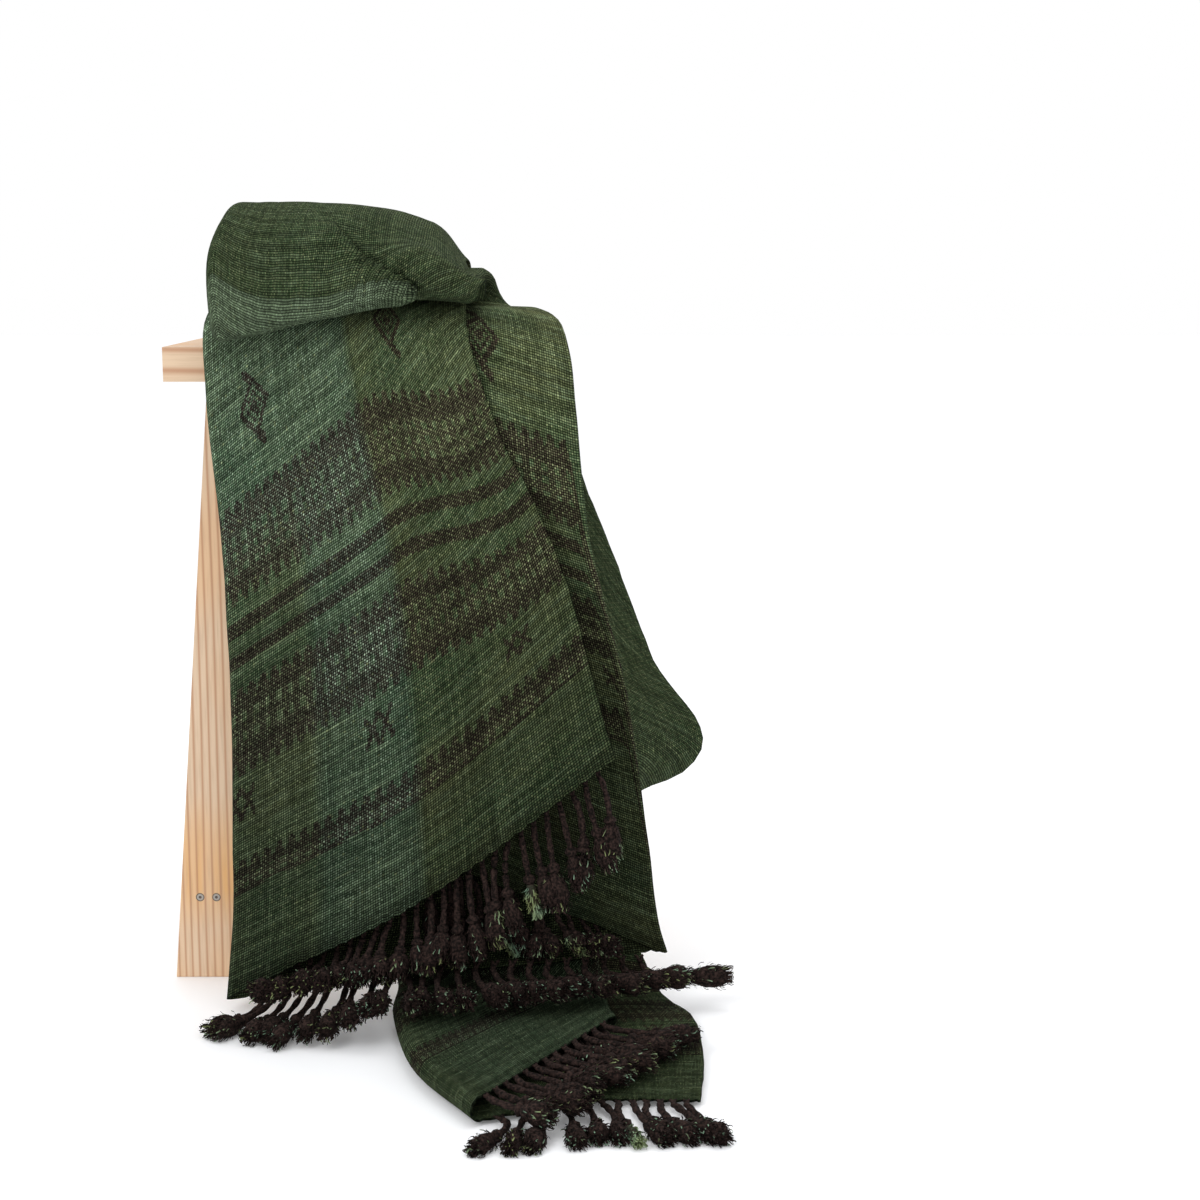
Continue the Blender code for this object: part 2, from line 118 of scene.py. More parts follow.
# How pale a strand is, from 0 for dark wool to 1 for pale; for fibres, at each point from root to tip
ROOT_TONE = 0.25
CORD_TONE = 0.2
KNOT_TONE = 0.15
CORE_TONE = 0.04
PALE_CORE_TONE = 0.3
PALE_FIBRE = (0.5, 0.8, 0.9, 1.0)
TIPPED_FIBRE = (0.15, 0.35, 0.75, 0.95)
TIPPED_SHARE = 0.15

# Pine: its rings' spacing, and the heights that the orange stain low on the legs grows and fades between
GRAIN_PITCH = 0.0068
STAIN_HEIGHTS = (0.05, 0.09, 0.11, 0.19)

# Screw heads in the legs
SCREW_X = (-0.180, -0.164, 0.136, 0.152)
SCREW_Z = 0.082
SCREW_RADIUS = 0.0042

# A screw head's edge and slot, both dark as painted shade, and its steel: share of its radius, colour
SCREW_RINGS = ((1.0, (0.10, 0.08, 0.06)), (0.78, (0.36, 0.34, 0.31)), (0.34, (0.06, 0.05, 0.05)))

# Weave: threads' spacing and how far they wander
WARP_PITCH = 0.0021
WEFT_PITCH = 0.0024
WARP_WANDER = 0.0020
WEFT_WANDER = 0.0030

# Past the roll, threads are counted from the second end
TURNED_WITHIN, TURNED_PAST, TURNED_COUNT = 1.745, 0.74, 3.0

# Colours
TEAL_WARP = (0.47, 0.62, 0.44)
OLIVE_WARP = (0.38, 0.43, 0.22)
STRIPE_WARP = (0.62, 0.82, 0.60)
GREEN_WEFT = (0.060, 0.108, 0.047)
OLIVE_WEFT = (0.110, 0.130, 0.054)
TEAL_WEFT = (0.072, 0.140, 0.082)
LIGHT_WEFT = (0.26, 0.36, 0.21)
BROWN_WEFT = (0.036, 0.023, 0.019)
PALE_FLECK = (0.36, 0.42, 0.20)
DARK_FRINGE = ((0.005, 0.0035, 0.003), (0.044, 0.026, 0.022))
PALE_FRINGE = ((0.20, 0.32, 0.22), (0.22, 0.26, 0.11))
PINE = ((0.70, 0.52, 0.36), (0.72, 0.48, 0.29))
PINE_STAIN = (0.74, 0.40, 0.14)
PINE_GRAIN = (0.44, 0.21, 0.11)
PINE_PORE = (0.42, 0.26, 0.16)
FLOOR_PAINT = (0.90, 0.91, 0.93)

# Bands of brown weft: from, to on the selvedge; how far teeth reach below and above; 1 where solid, or 0
# where the pale warp shows through
BANDS = (
    (0.090, 0.094, 0.000, 0.000, 1),
    (0.094, 0.106, 0.000, 0.000, 0),
    (0.106, 0.112, 0.000, 0.011, 1),
    (0.180, 0.188, 0.009, 0.000, 1),
    (0.188, 0.214, 0.000, 0.000, 0),
    (0.214, 0.221, 0.000, 0.010, 1),
    (0.246, 0.258, 0.000, 0.000, 1),
    (0.274, 0.286, 0.000, 0.000, 1),
    (0.308, 0.319, 0.011, 0.000, 1),
    (0.319, 0.354, 0.000, 0.000, 0),
    (0.354, 0.366, 0.000, 0.012, 1),
)
SECOND_BANDS_END = 0.50
TOOTH_PITCH = 0.0115
TOOTH_SLOPE = 1.5
CHECK_LENGTH = 0.0125
CHECK_GAP_PAST, CHECK_GAP_WITHIN = 0.45, 0.40

# Crosses and ringed diamonds: where the rows lie and how large they are
CROSS_PERIOD, CROSS_FIRST, CROSS_AT = 0.131, 0.055, 0.153
CROSS_WIDTH, CROSS_HEIGHT = 0.0128, 0.0094
CROSS_RISE, CROSS_ARM = 0.0088, 0.36
DIAMOND_PERIOD, DIAMOND_FIRST, DIAMOND_AT = 0.1715, 0.1010, 0.440
DIAMOND_WIDTH, DIAMOND_HEIGHT = 0.0165, 0.0245
DIAMOND_RINGS = ((-1.0, 0.30), (0.46, 0.62), (0.80, 1.12))
TAIL_FROM, TAIL_HEIGHT = 0.0235, 0.0350
TAIL_WIDTH, TAIL_THICK = 0.0110, 0.0048
SAME_SIDE = -0.00001

# The pale warp and other zones: where each grows from 0 to 1 and, for some, back to 0
TEAL_ACROSS = (0.150, 0.160, 0.350, 0.360)
TEAL_ALONG = (0.55, 0.62)
# Where the teal gives way to darker olive low on the front, as painted shade
TEAL_SHADE_ACROSS = (0.238, 0.250)
TEAL_SHADE_ALONG = (0.30, 0.36)
SECOND_TEAL_ACROSS = (0.300, 0.420)
SECOND_TEAL_WITHIN = 0.6
STRIPE_ALONG = (1.560, 1.72)
STRIPE_ACROSS = (0.060, 0.110)
# Where painted shade darkens the cloth low on the left
LOW_LEFT_SHADE_ACROSS = (0.200, 0.300)
LOW_LEFT_SHADE_ALONG = (0.22, 0.36)
THREAD_LENGTH = 0.045

GUIDES = ("selvedge", "bend", "left", "middle", "right", "inner")

# name, y, z, selvedge, bend, left, middle, right, inner
PATH = (
    ("first_end", -0.046, 0.012, 0.227, 0.050, -0.138, 0.052, 0.276, 0.020),
    ("ankle", -0.045, 0.075, 0.216, 0.048, -0.136, 0.064, 0.268, 0.005),
    ("shin", -0.044, 0.160, 0.203, 0.045, -0.134, 0.055, 0.258, -0.015),
    ("knee", -0.043, 0.300, 0.180, 0.035, -0.132, 0.045, 0.238, -0.060),
    ("thigh", -0.043, 0.450, 0.143, 0.015, -0.137, 0.025, 0.202, -0.090),
    ("rim_front", -0.043, 0.580, 0.110, -0.010, -0.145, 0.015, 0.190, -0.105),
    ("rim_top", -0.036, 0.641, 0.092, -0.020, -0.145, 0.010, 0.184, -0.110),
    ("rim_back", -0.010, 0.656, 0.090, -0.025, -0.141, 0.010, 0.178, -0.105),
    ("on_seat", 0.045, 0.655, 0.092, -0.030, -0.138, 0.010, 0.156, -0.100),
    ("turn_low", 0.096, 0.654, 0.096, -0.030, -0.130, 0.004, 0.128, -0.095),
    ("turn_in", 0.106, 0.658, 0.096, -0.030, -0.130, 0.003, 0.122, -0.093),
    ("turn", 0.110, 0.667, 0.096, -0.030, -0.130, 0.002, 0.114, -0.090),
    ("turn_out", 0.106, 0.676, 0.096, -0.030, -0.130, 0.001, 0.110, -0.090),
    ("turn_high", 0.096, 0.680, 0.097, -0.030, -0.130, 0.000, 0.106, -0.090),
    ("tongue", 0.040, 0.678, 0.102, -0.030, -0.134, -0.010, 0.098, -0.095),
    ("tongue_front", -0.012, 0.677, 0.103, -0.030, -0.136, -0.012, 0.090, -0.098),
    ("lip_low", -0.045, 0.675, 0.104, -0.030, -0.130, -0.015, 0.088, -0.100),
    ("lip", -0.068, 0.688, 0.107, -0.030, -0.129, -0.020, 0.082, -0.105),
    ("roll_front", -0.062, 0.716, 0.112, -0.030, -0.135, -0.020, 0.080, -0.105),
    ("roll_brow", -0.020, 0.738, 0.110, -0.030, -0.128, -0.020, 0.080, -0.105),
    ("roll_top", 0.050, 0.742, 0.106, -0.030, -0.122, -0.015, 0.080, -0.100),
    ("roll_back", 0.125, 0.732, 0.104, -0.030, -0.130, -0.005, 0.088, -0.095),
    ("back", 0.186, 0.702, 0.106, -0.020, -0.128, 0.000, 0.096, -0.090),
    ("back_low", 0.213, 0.662, 0.106, -0.010, -0.128, 0.005, 0.103, -0.090),
    ("rear_turn", 0.203, 0.642, 0.107, -0.010, -0.128, 0.010, 0.106, -0.090),
    ("rear_seat", 0.178, 0.634, 0.108, -0.010, -0.128, 0.010, 0.109, -0.090),
    ("under", 0.100, 0.632, 0.111, -0.005, -0.128, 0.015, 0.112, -0.090),
    ("edge_top", 0.010, 0.632, 0.116, 0.020, -0.128, 0.020, 0.119, -0.090),
    ("edge", -0.011, 0.6265, 0.121, 0.035, -0.126, 0.020, 0.125, -0.088),
    ("edge_front", -0.016, 0.600, 0.148, 0.060, -0.124, 0.020, 0.140, -0.085),
    ("rear_high", -0.015, 0.470, 0.206, 0.140, -0.110, 0.020, 0.186, -0.080),
    ("rear_mid", -0.015, 0.310, 0.266, 0.165, -0.100, 0.030, 0.200, -0.065),
    ("rear_flare", -0.015, 0.212, 0.308, 0.175, -0.080, 0.045, 0.205, -0.045),
    ("rear_tuck", -0.015, 0.176, 0.252, 0.172, -0.065, 0.055, 0.206, -0.025),
    ("rear_low", -0.016, 0.070, 0.238, 0.168, -0.010, 0.085, 0.208, 0.020),
    ("floor_turn", -0.030, 0.024, 0.262, 0.168, 0.016, 0.105, 0.212, 0.045),
    ("floor", -0.110, 0.015, 0.300, 0.180, 0.024, 0.120, 0.220, 0.065),
    ("floor_out", -0.210, 0.014, 0.304, 0.205, 0.055, 0.140, 0.224, 0.095),
    ("second_end", -0.285, 0.013, 0.298, 0.220, 0.108, 0.165, 0.226, 0.140),
)

# guide, at, fades to on one or both sides, dy, dz
PULLS = (
    ("selvedge", "first_end", ("rim_front",), -0.036, 0.237),
    ("bend", "first_end", ("rim_front",), -0.044, 0.105),
    ("left", "first_end", ("ankle",), -0.026, 0.000),
    ("middle", "first_end", ("ankle",), -0.030, 0.032),
    ("right", "first_end", ("ankle",), 0.000, 0.036),
    ("inner", "first_end", ("rim_front",), -0.004, 0.145),
    ("selvedge", "rear_flare", ("edge_front", "floor_turn"), 0.110, 0.000),
    ("left", "second_end", ("floor_turn",), -0.040, 0.000),
    ("middle", "second_end", ("floor",), 0.050, 0.000),
    ("right", "second_end", ("floor",), 0.150, 0.000),
    ("inner", "second_end", ("floor",), 0.110, 0.000),
    ("left", "lip", ("lip_low", "roll_brow"), -0.014, -0.034),
    ("left", "lip_low", ("tongue_front",), -0.009, -0.014),
    ("middle", "lip", ("lip_low", "roll_brow"), -0.004, -0.012),
    ("middle", "lip_low", ("tongue_front",), -0.003, -0.004),
    ("right", "roll_brow", ("lip_low", "back"), 0.006, -0.028),
    ("right", "rim_top", ("thigh", "on_seat"), 0.000, -0.016),
)

# station, part way to the next, x, push, reach in stations, reach along x, slope of x per station
DENTS = (
    ("roll_front", 0.6, 0.020, -0.012, 1.2, 0.036, 0.022),
    ("shin", 0.2, 0.050, 0.006, 1.6, 0.060, 0.0),
    ("knee", 0.3, 0.120, -0.005, 1.2, 0.035, 0.0),
)

# The crease between the roll's two lobes: place along the path, x
CREASE = ((15.9, 0.018), (16.4, 0.034), (17.0, 0.034), (17.4, 0.020), (18.0, -0.008), (18.6, -0.030))

# The crease's section: off its line, push along the normal, shift to the right
CREASE_SECTION = (
    (-0.045, 0.000, 0.000),
    (-0.020, 0.004, 0.004),
    (-0.009, 0.008, 0.010),
    (-0.003, 0.005, 0.017),
    (0.000, -0.003, 0.016),
    (0.003, -0.011, 0.006),
    (0.008, -0.013, 0.000),
    (0.022, -0.005, 0.000),
    (0.045, 0.000, 0.000),
)

# Where the crease's colour holds painted shade: the distance off its line that this grows from and to, and
# fades from and to
CREASE_PAINTED_SHADE = (-0.001, 0.002, 0.004, 0.016)

# The roll's rounded ends, blunt nose and tucked back
NOSE_PLACE, NOSE_REACH = 17.6, 2.2
NOSE_FROM = 0.052
NOSE_BLUNT = 0.50
NOSE_BLUNT_TOP = 0.12
NOSE_DROOP = 0.021
RIGHT_DROOP = 0.012
LEFT_DROOP = 0.002
BACK_TUCK = 0.46

# The x or z that they grow from and to
NOSE_X = (0.060, 0.112)
RIGHT_X = (0.050, 0.116)
LEFT_X = (-0.095, -0.140)
BROW_Z = (0.700, 0.735)

# Places along the path that they grow from and to, and fade from and to
BEHIND_PLACES = (19.4, 21.0, 24.0, 27.0)
NOSE_PLACES = (17.2, 19.6, 21.8, 24.0)

# How the cloth settles: by x, y and z; middle place on the path, and reach; the x it grows from and to.
# In turn: the hanging left fold, the shoulder, the low right corner, the roll's right half, its left lobe.
SETTLED = (
    (0.002, 0.000, 0.000, 4.2, 3.0, -0.050, -0.140),
    (0.000, 0.000, -0.006, 6.8, 2.6, 0.112, 0.190),
    (0.000, 0.000, -0.015, 32.3, 1.7, 0.220, 0.300),
    (0.000, 0.000, -0.019, 19.6, 2.4, 0.020, 0.090),
    (0.000, -0.005, -0.017, 16.9, 1.9, 0.045, -0.030),
)

# name, guide positions, 0 for the first end and 1 for the second, strands
FRINGES = (
    ("fringe_front_flap", 0.04, 1.70, 0, 24),
    ("fringe_front_middle", 2.12, 3.94, 0, 24),
    ("fringe_front_inner", 4.22, 4.92, 0, 13),
    ("fringe_rear_flap", 0.05, 1.92, 1, 12),
    ("fringe_rear_middle", 2.08, 3.92, 1, 13),
    ("fringe_rear_inner", 4.10, 4.90, 1, 6),
)

# Tassels of undyed pale wool, counted from each fringe's start
PALE_TASSELS = {"fringe_front_flap": (6, 8), "fringe_front_inner": (3, 7), "fringe_rear_flap": (5,)}

# at, dx, dy, dz
TIPS = {
    "fringe_front_flap": (
        (0.00, 0.020, -0.004, -0.082),
        (0.40, 0.008, -0.006, -0.080),
        (0.60, 0.000, -0.018, -0.055),
        (0.85, -0.006, -0.060, -0.008),
        (1.00, -0.034, -0.060, 0.006),
    ),
    "fringe_front_middle": (
        (0.00, -0.045, -0.055, -0.007),
        (0.26, -0.015, -0.085, -0.024),
        (0.36, 0.000, -0.088, 0.000),
        (0.50, 0.010, -0.088, 0.000),
        (0.80, 0.045, -0.055, 0.000),
        (1.00, 0.080, 0.005, -0.012),
    ),
    "fringe_front_inner": (
        (0.00, 0.020, -0.040, 0.004),
        (0.50, 0.010, -0.020, -0.045),
        (1.00, 0.000, -0.008, -0.070),
    ),
    "fringe_rear_flap": (
        (0.00, 0.030, -0.065, 0.000),
        (0.60, 0.010, -0.072, 0.000),
        (1.00, -0.020, -0.050, 0.000),
    ),
    "fringe_rear_middle": ((0.00, 0.050, -0.040, 0.000), (1.00, 0.080, -0.020, 0.000)),
    "fringe_rear_inner": ((0.00, 0.030, -0.070, 0.000), (1.00, 0.010, -0.075, 0.000)),
}

# The same thread's length from the first end: on the selvedge, on the flap's fold, on the inner panel
PATTERN = (
    (0.000, 0.000, 0.000),
    (0.060, 0.062, 0.168),
    (0.091, 0.096, 0.206),
    (0.120, 0.122, 0.235),
    (0.153, 0.183, 0.268),
    (0.178, 0.218, 0.293),
    (0.223, 0.284, 0.338),
    (0.252, 0.318, 0.367),
    (0.281, 0.349, 0.396),
    (0.304, 0.380, 0.419),
    (0.369, 0.452, 0.484),
    (0.440, 0.528, 0.567),
    (3.000, 3.080, 3.125),
)


def station_index(name):
    return [row[0] for row in PATH].index(name)


def guide_points():
    """One row of points per station, one column per guide."""
    points = np.zeros((len(PATH), len(GUIDES), 3))
    for i, (_, y, z, *across) in enumerate(PATH):
        for k, x in enumerate(across):
            points[i, k] = (x, y, z)
    lengths = station_lengths(points)
    for guide, at, ends, dy, dz in PULLS:
        a = station_index(at)
        shares = {a: 1.0}
        for b in [station_index(end) for end in ends]:
            for i in range(a, b, 1 if b > a else -1):
                shares[i] = (lengths[b] - lengths[i]) / (lengths[b] - lengths[a])
        for i, share in shares.items():
            points[i, GUIDES.index(guide)] += (0.0, dy * share, dz * share)
    return points


def station_lengths(points):
    steps = np.linalg.norm(np.diff(points[:, 2:5].mean(axis=1), axis=0), axis=1)
    return np.concatenate([[0.0], np.cumsum(steps)])


def guide_rows(places):
    """Points along each guide at the given places, which are station numbers with fractions."""
    points = guide_points()
    lengths = station_lengths(points)
    h = np.diff(lengths)[:, None, None]
    slope = np.diff(points, axis=0) / h
    tangent = np.zeros_like(points)
    tangent[1:-1] = (slope[1:] * h[:-1] + slope[:-1] * h[1:]) / (h[1:] + h[:-1])
    tangent[0] = slope[0]
    tangent[-1] = slope[-1]
    rows = []
    for place in places:
        i = min(int(place), len(points) - 2)
        t = place - i
        step = lengths[i + 1] - lengths[i]
        a = (1 + 2 * t) * (1 - t) ** 2
        b = t * (1 - t) ** 2 * step
        c = t * t * (3 - 2 * t)
        d = t * t * (t - 1) * step
        rows.append(a * points[i] + b * tangent[i] + c * points[i + 1] + d * tangent[i + 1])
    return np.array(rows)


def unit(v):
    return v / np.maximum(np.linalg.norm(v, axis=-1, keepdims=True), 1e-9)


def guide_normals(rows):
    """The side that the front flap lies on, for each row and guide."""
    along = unit(np.gradient(rows, axis=0))
    across = unit(rows[:, 4] - rows[:, 2])[:, None, :]
    return unit(np.cross(np.broadcast_to(across, along.shape), along))


def fold_rise(distance, radius):
    """How far a rounded fold has risen at a distance from its apex."""
    return math.sqrt(radius ** 2 - max(0.0, radius - distance) ** 2)


def layer_offset(row, u):
    """How far from the strip's middle surface the cloth lies at guide position u of a row."""
    turn = (REAR_LAYER + INNER_LAYER) / 2
    if u <= 2:
        return fold_rise((2 - u) * np.linalg.norm(row[1] - row[2]), FRONT_LAYER)
    if u <= 3:
        return -fold_rise((u - 2) * np.linalg.norm(row[3] - row[2]), -REAR_LAYER)
    if u <= 4:
        return turn - fold_rise((4 - u) * np.linalg.norm(row[4] - row[3]), turn - REAR_LAYER)
    return turn + fold_rise((u - 4) * np.linalg.norm(row[5] - row[4]), INNER_LAYER - turn)


def through_three(a, b, c, at, t):
    """A curve through a at 0, b at `at` and c at 1 that never overshoots them."""
    h, k = at, 1 - at
    before, after = (b - a) / h, (c - b) / k
    same = before * after > 0
    slope = np.where(same, 2 * before * after / np.where(same, before + after, 1.0), 0.0)
    if t <= at:
        p, q, m, n, s, width = a, b, before, slope, t / h, h
    else:
        p, q, m, n, s, width = b, c, slope, after, (t - at) / k, k
    keep = p * (1 + 2 * s) * (1 - s) ** 2 + q * s * s * (3 - 2 * s)
    return keep + width * (m * s * (1 - s) ** 2 + n * s * s * (s - 1))


def between(row, u):
    """A row's value at guide position u."""
    if u <= 2:
        return through_three(row[0], row[1], row[2], 0.5, u / 2)
    if u <= 4:
        return through_three(row[2], row[3], row[4], 0.5, (u - 2) / 2)
    return row[4] + (row[5] - row[4]) * (u - 4)


def on_strip(row, normals, x):
    """The strip's middle surface and its normal at x, as the left, middle and right guides set them."""
    left, middle, right = row[2], row[3], row[4]
    t = (x - left[0]) / (right[0] - left[0])
    at = (middle[0] - left[0]) / (right[0] - left[0])
    held = min(max(t, 0.0), 1.0)
    point = through_three(left, middle, right, at, held) + (right - middle) / (1 - at) * max(t - 1, 0.0)
    normal = through_three(normals[2], normals[3], normals[4], at, held)
    return np.array([x, point[1], point[2]]), normal


def strip_share(place):
    """How closely the flap and the inner panel follow the middle one: fully where the throw lies folded
    on the seat, not at all where it hangs."""
    away = max(station_index("rim_top") - place, place - station_index("edge"), 0.0)
    return max(0.0, 1 - away / 2)


def dent(place, x):
    push = 0.0
    for name, part, across, depth, reach, width, slope in DENTS:
        ahead = place - station_index(name) - part
        aside = (x - across - slope * ahead) / width
        push += depth * math.exp(-(ahead / reach) ** 2 - aside * aside)
    return push


def smoothstep(a, b, x):
    t = np.clip((x - a) / (b - a), 0, 1)
    return t * t * (3 - 2 * t)


def grown(span, value):
    """From 0 to 1 as a value passes through a span."""
    return float(smoothstep(span[0], span[1], value))


def plateau(spans, place):
    """From 0 to 1 and back to 0 along the path."""
    return grown(spans[:2], place) * grown(spans[:1:-1], place)


def near_place(place, middle, reach):
    """1 at a place along the path, falling smoothly to 0 on both sides of it."""
    return 1 - grown((0.0, reach), abs(place - middle))


def eased(table, at, column):
    """A table's value at a place, moving smoothly from row to row."""
    for low, high in zip(table, table[1:]):
        if low[0] <= at < high[0]:
            return low[column] + (high[column] - low[column]) * grown((low[0], high[0]), at)
    return 0.0


def beside_crease(place, x):
    """How far x lies to the right of the crease's line, and how deep the crease is there, from 0 to 1."""
    first, last = CREASE[0][0], CREASE[-1][0]
    if not first < place < last:
        return 0.0, 0.0
    off = x - np.interp(place, [row[0] for row in CREASE], [row[1] for row in CREASE])
    return off, math.sin(math.pi * (place - first) / (last - first)) ** 0.6


def crease(place, x):
    """How far the cloth moves along its normal and to the right where the left lobe laps over the right."""
    off, depth = beside_crease(place, x)
    if depth == 0.0:
        return 0.0, 0.0
    return depth * eased(CREASE_SECTION, off, 1), depth * eased(CREASE_SECTION, off, 2)


def crease_shade(place, x):
    """How deep a point lies in the crease, from 0 to 1, for the painted shade in its colour."""
    off, depth = beside_crease(place, x)
    return depth * plateau(CREASE_PAINTED_SHADE, off)


def settle(place, point):
    """The cloth's own weight: the settled parts, and the roll's blunt drooping nose and rounded ends."""
    x, z = point[0], point[2]
    moved = np.array(point)
    for *by, middle, reach, low, high in SETTLED:
        moved += np.array(by) * near_place(place, middle, reach) * grown((low, high), x)
    behind = plateau(BEHIND_PLACES, place)
    past_nose = max(0.0, x - NOSE_FROM)
    moved[0] -= BACK_TUCK * behind * past_nose
    first, last = station_index("tongue_front"), station_index("back")
    if not first < place < last + 2:
        return moved
    fade = max(0.0, math.sin(math.pi * min(1.0, (place - first) / (last - first)))) ** 0.7
    blunt = NOSE_BLUNT_TOP if place > NOSE_PLACE else NOSE_BLUNT
    moved[0] -= blunt * grown((0.0, NOSE_REACH), abs(place - NOSE_PLACE)) * past_nose * fade * (1 - behind)
    moved[2] -= NOSE_DROOP * plateau(NOSE_PLACES, place) * grown(NOSE_X, x)
    moved[2] -= fade * (RIGHT_DROOP * grown(RIGHT_X, x) + LEFT_DROOP * grown(LEFT_X, x) * grown(BROW_Z, z))
    return moved


def cloth_grid(places, cols):
    """The cloth's middle surface on a grid of rows and columns, in the tables' axes."""
    rows = guide_rows(places)
    normals = guide_normals(rows)
    normals[:, 0] = normals[:, 1]
    normals[:, 5] = normals[:, 3]
    grid = np.zeros((len(places), len(cols), 3))
    for i, place in enumerate(places):
        share = strip_share(place)
        for j, u in enumerate(cols):
            point = between(rows[i], u)
            n = between(normals[i], u)
            if u < 2 or u > 4:
                strip_point, strip_n = on_strip(rows[i], normals[i], point[0])
                point = point + (strip_point - point) * share
                n = n + (strip_n - n) * share
            push, shift = crease(place, point[0])
            rise = layer_offset(rows[i], u) + dent(place, point[0]) + push
            grid[i, j] = settle(place, point + unit(n) * rise + (shift, 0.0, 0.0))
    return grid


def smooth_x(places, cols):
    """The x of each row and column on the middle surface, before folds and creases move it."""
    return [[between(row, u)[0] for u in cols] for row in guide_rows(places)]


def grid_normals(grid):
    cells = unit(np.cross(grid[1:, 1:] - grid[:-1, :-1], grid[1:, :-1] - grid[:-1, 1:]))
    total = np.zeros_like(grid)
    for rows in (slice(0, -1), slice(1, None)):
        for cols in (slice(0, -1), slice(1, None)):
            total[rows, cols] += cells
    return unit(total)


def cloth_places():
    """Rows about ROW_STEP apart along the cloth, as station numbers with fractions."""
    lengths = station_lengths(guide_points())
    places = []
    for i, gap in enumerate(np.diff(lengths)):
        on_roll = station_index("tongue_front") <= i < station_index("roll_top")
        count = max(2, round(gap / (ROLL_STEP if on_roll else ROW_STEP)))
        places += [i + k / count for k in range(count)]
    return places + [len(PATH) - 1]


def cloth_columns():
    """Guide positions of the columns: closer together at the two folds."""
    cols = [2.0, 4.0]
    for first, last, count in COLUMN_RUNS:
        cols += list(np.linspace(first, last, count))
    for step in FOLD_STEPS:
        cols += [2 - step, 2 + step, 4 - step, 4 + step]
    return sorted(cols)


def lengths_across(grid, places):
    """How far each column is from the selvedge, on the part that hangs in front."""
    hanging = [i for i, place in enumerate(places) if place <= station_index("rim_top")]
    steps = np.linalg.norm(np.diff(grid, axis=1), axis=2)[hanging].mean(axis=0)
    return np.concatenate([[0.0], np.cumsum(steps)])


def lengths_along(grid):
    steps = np.linalg.norm(np.diff(grid, axis=0), axis=2)
    return np.concatenate([np.zeros((1, grid.shape[1])), np.cumsum(steps, axis=0)])


def pattern_lengths(along, across, cols):
    """Each point's length along the cloth as the woven pattern counts it."""
    table = np.array(PATTERN)
    on_fold = np.interp(along, table[:, 1], table[:, 0])
    on_inner = np.interp(along, table[:, 2], table[:, 0])
    to_fold = smoothstep(0.0, 0.16, across)[None, :]
    on_flap = along * (1 - to_fold) + on_fold * to_fold
    u = np.array(cols)[None, :]
    flap_share = 1 - smoothstep(2.0, 2.2, u)
    inner_share = smoothstep(4.0, 4.03, u)
    out = along + (on_flap - along) * flap_share
    return out + (on_inner - out) * inner_share


def wrinkle(grid, along, across):
    """Small soft unevenness along the normal, the same on each run."""
    out = np.zeros(grid.shape[:2])
    for i in range(grid.shape[0]):
        for j in range(grid.shape[1]):
            for height, turns_across, turns_along, seed in UNEVEN:
                at = Vector((across[j] * turns_across, along[i, j] * turns_along, seed))
                out[i, j] += height * noise.noise(at)
    return out


def make_object(name, verts, faces, mat):
    """A smooth object from points in the tables' axes, held just above the floor."""
    verts = np.array(verts) + SHIFT
    verts[:, 2] = np.maximum(verts[:, 2], FLOOR_CLEAR)
    mesh = bpy.data.meshes.new(name)
    mesh.from_pydata([tuple(v) for v in verts], [], faces)
    mesh.materials.append(mat)
    mesh.polygons.foreach_set("use_smooth", [True] * len(mesh.polygons))
    ob = bpy.data.objects.new(name, mesh)
    bpy.context.scene.collection.objects.link(ob)
    return ob


def add_values(mesh, name, values):
    """A number at each point, for a material to read."""
    layer = mesh.color_attributes.new(name, "FLOAT_COLOR", "POINT")
    layer.data.foreach_set("color", np.repeat(np.array(values, np.float32), 4))


def scallop_ends(grid, cols):
    """Draws the cloth's ends in a little between the tassels' roots."""
    for name, first, last, second_end, strands in FRINGES:
        edge, inside = (-1, -2) if second_end else (0, 1)
        for j, u in enumerate(cols):
            if first <= u <= last:
                root = abs(math.sin(math.pi * strands * (u - first) / (last - first)))
                grid[edge, j] += unit(grid[inside, j] - grid[edge, j]) * HEM_SCALLOP * (1 - root)


def sheet_faces(rows, count):
    """The faces of a closed sheet: an upper and a lower grid of points with a rim all round."""
    under = rows * count
    faces = []
    for i in range(rows - 1):
        for j in range(count - 1):
            a, b = i * count + j, i * count + j + 1
            c, d = b + count, a + count
            faces += [(a, b, c, d), (d + under, c + under, b + under, a + under)]
    rim = [*range(count), *range(2 * count - 1, under, count)]
    rim += [*range(under - 2, under - count - 1, -1), *range(under - 2 * count, 0, -count)]
    faces += [(a, a + under, b + under, b) for a, b in zip(rim, rim[1:] + rim[:1])]
    return faces


def add_cloth_layers(mesh, painted_crease_shade, across, lengths):
    """The crease's shade at each point, and the UV maps that the weave follows."""
    add_values(mesh, "painted_crease_shade", np.concatenate([painted_crease_shade.reshape(-1), painted_crease_shade.reshape(-1)]))
    index = np.zeros(len(mesh.loops), np.int32)
    mesh.loops.foreach_get("vertex_index", index)
    index %= painted_crease_shade.size
    flat_across = np.broadcast_to(across, painted_crease_shade.shape).reshape(-1)
    for name, values in lengths:
        layer = mesh.uv_layers.new(name=name)
        data = np.stack([flat_across[index], values.reshape(-1)[index]], axis=1).astype(np.float32)
        layer.data.foreach_set("uv", data.reshape(-1))


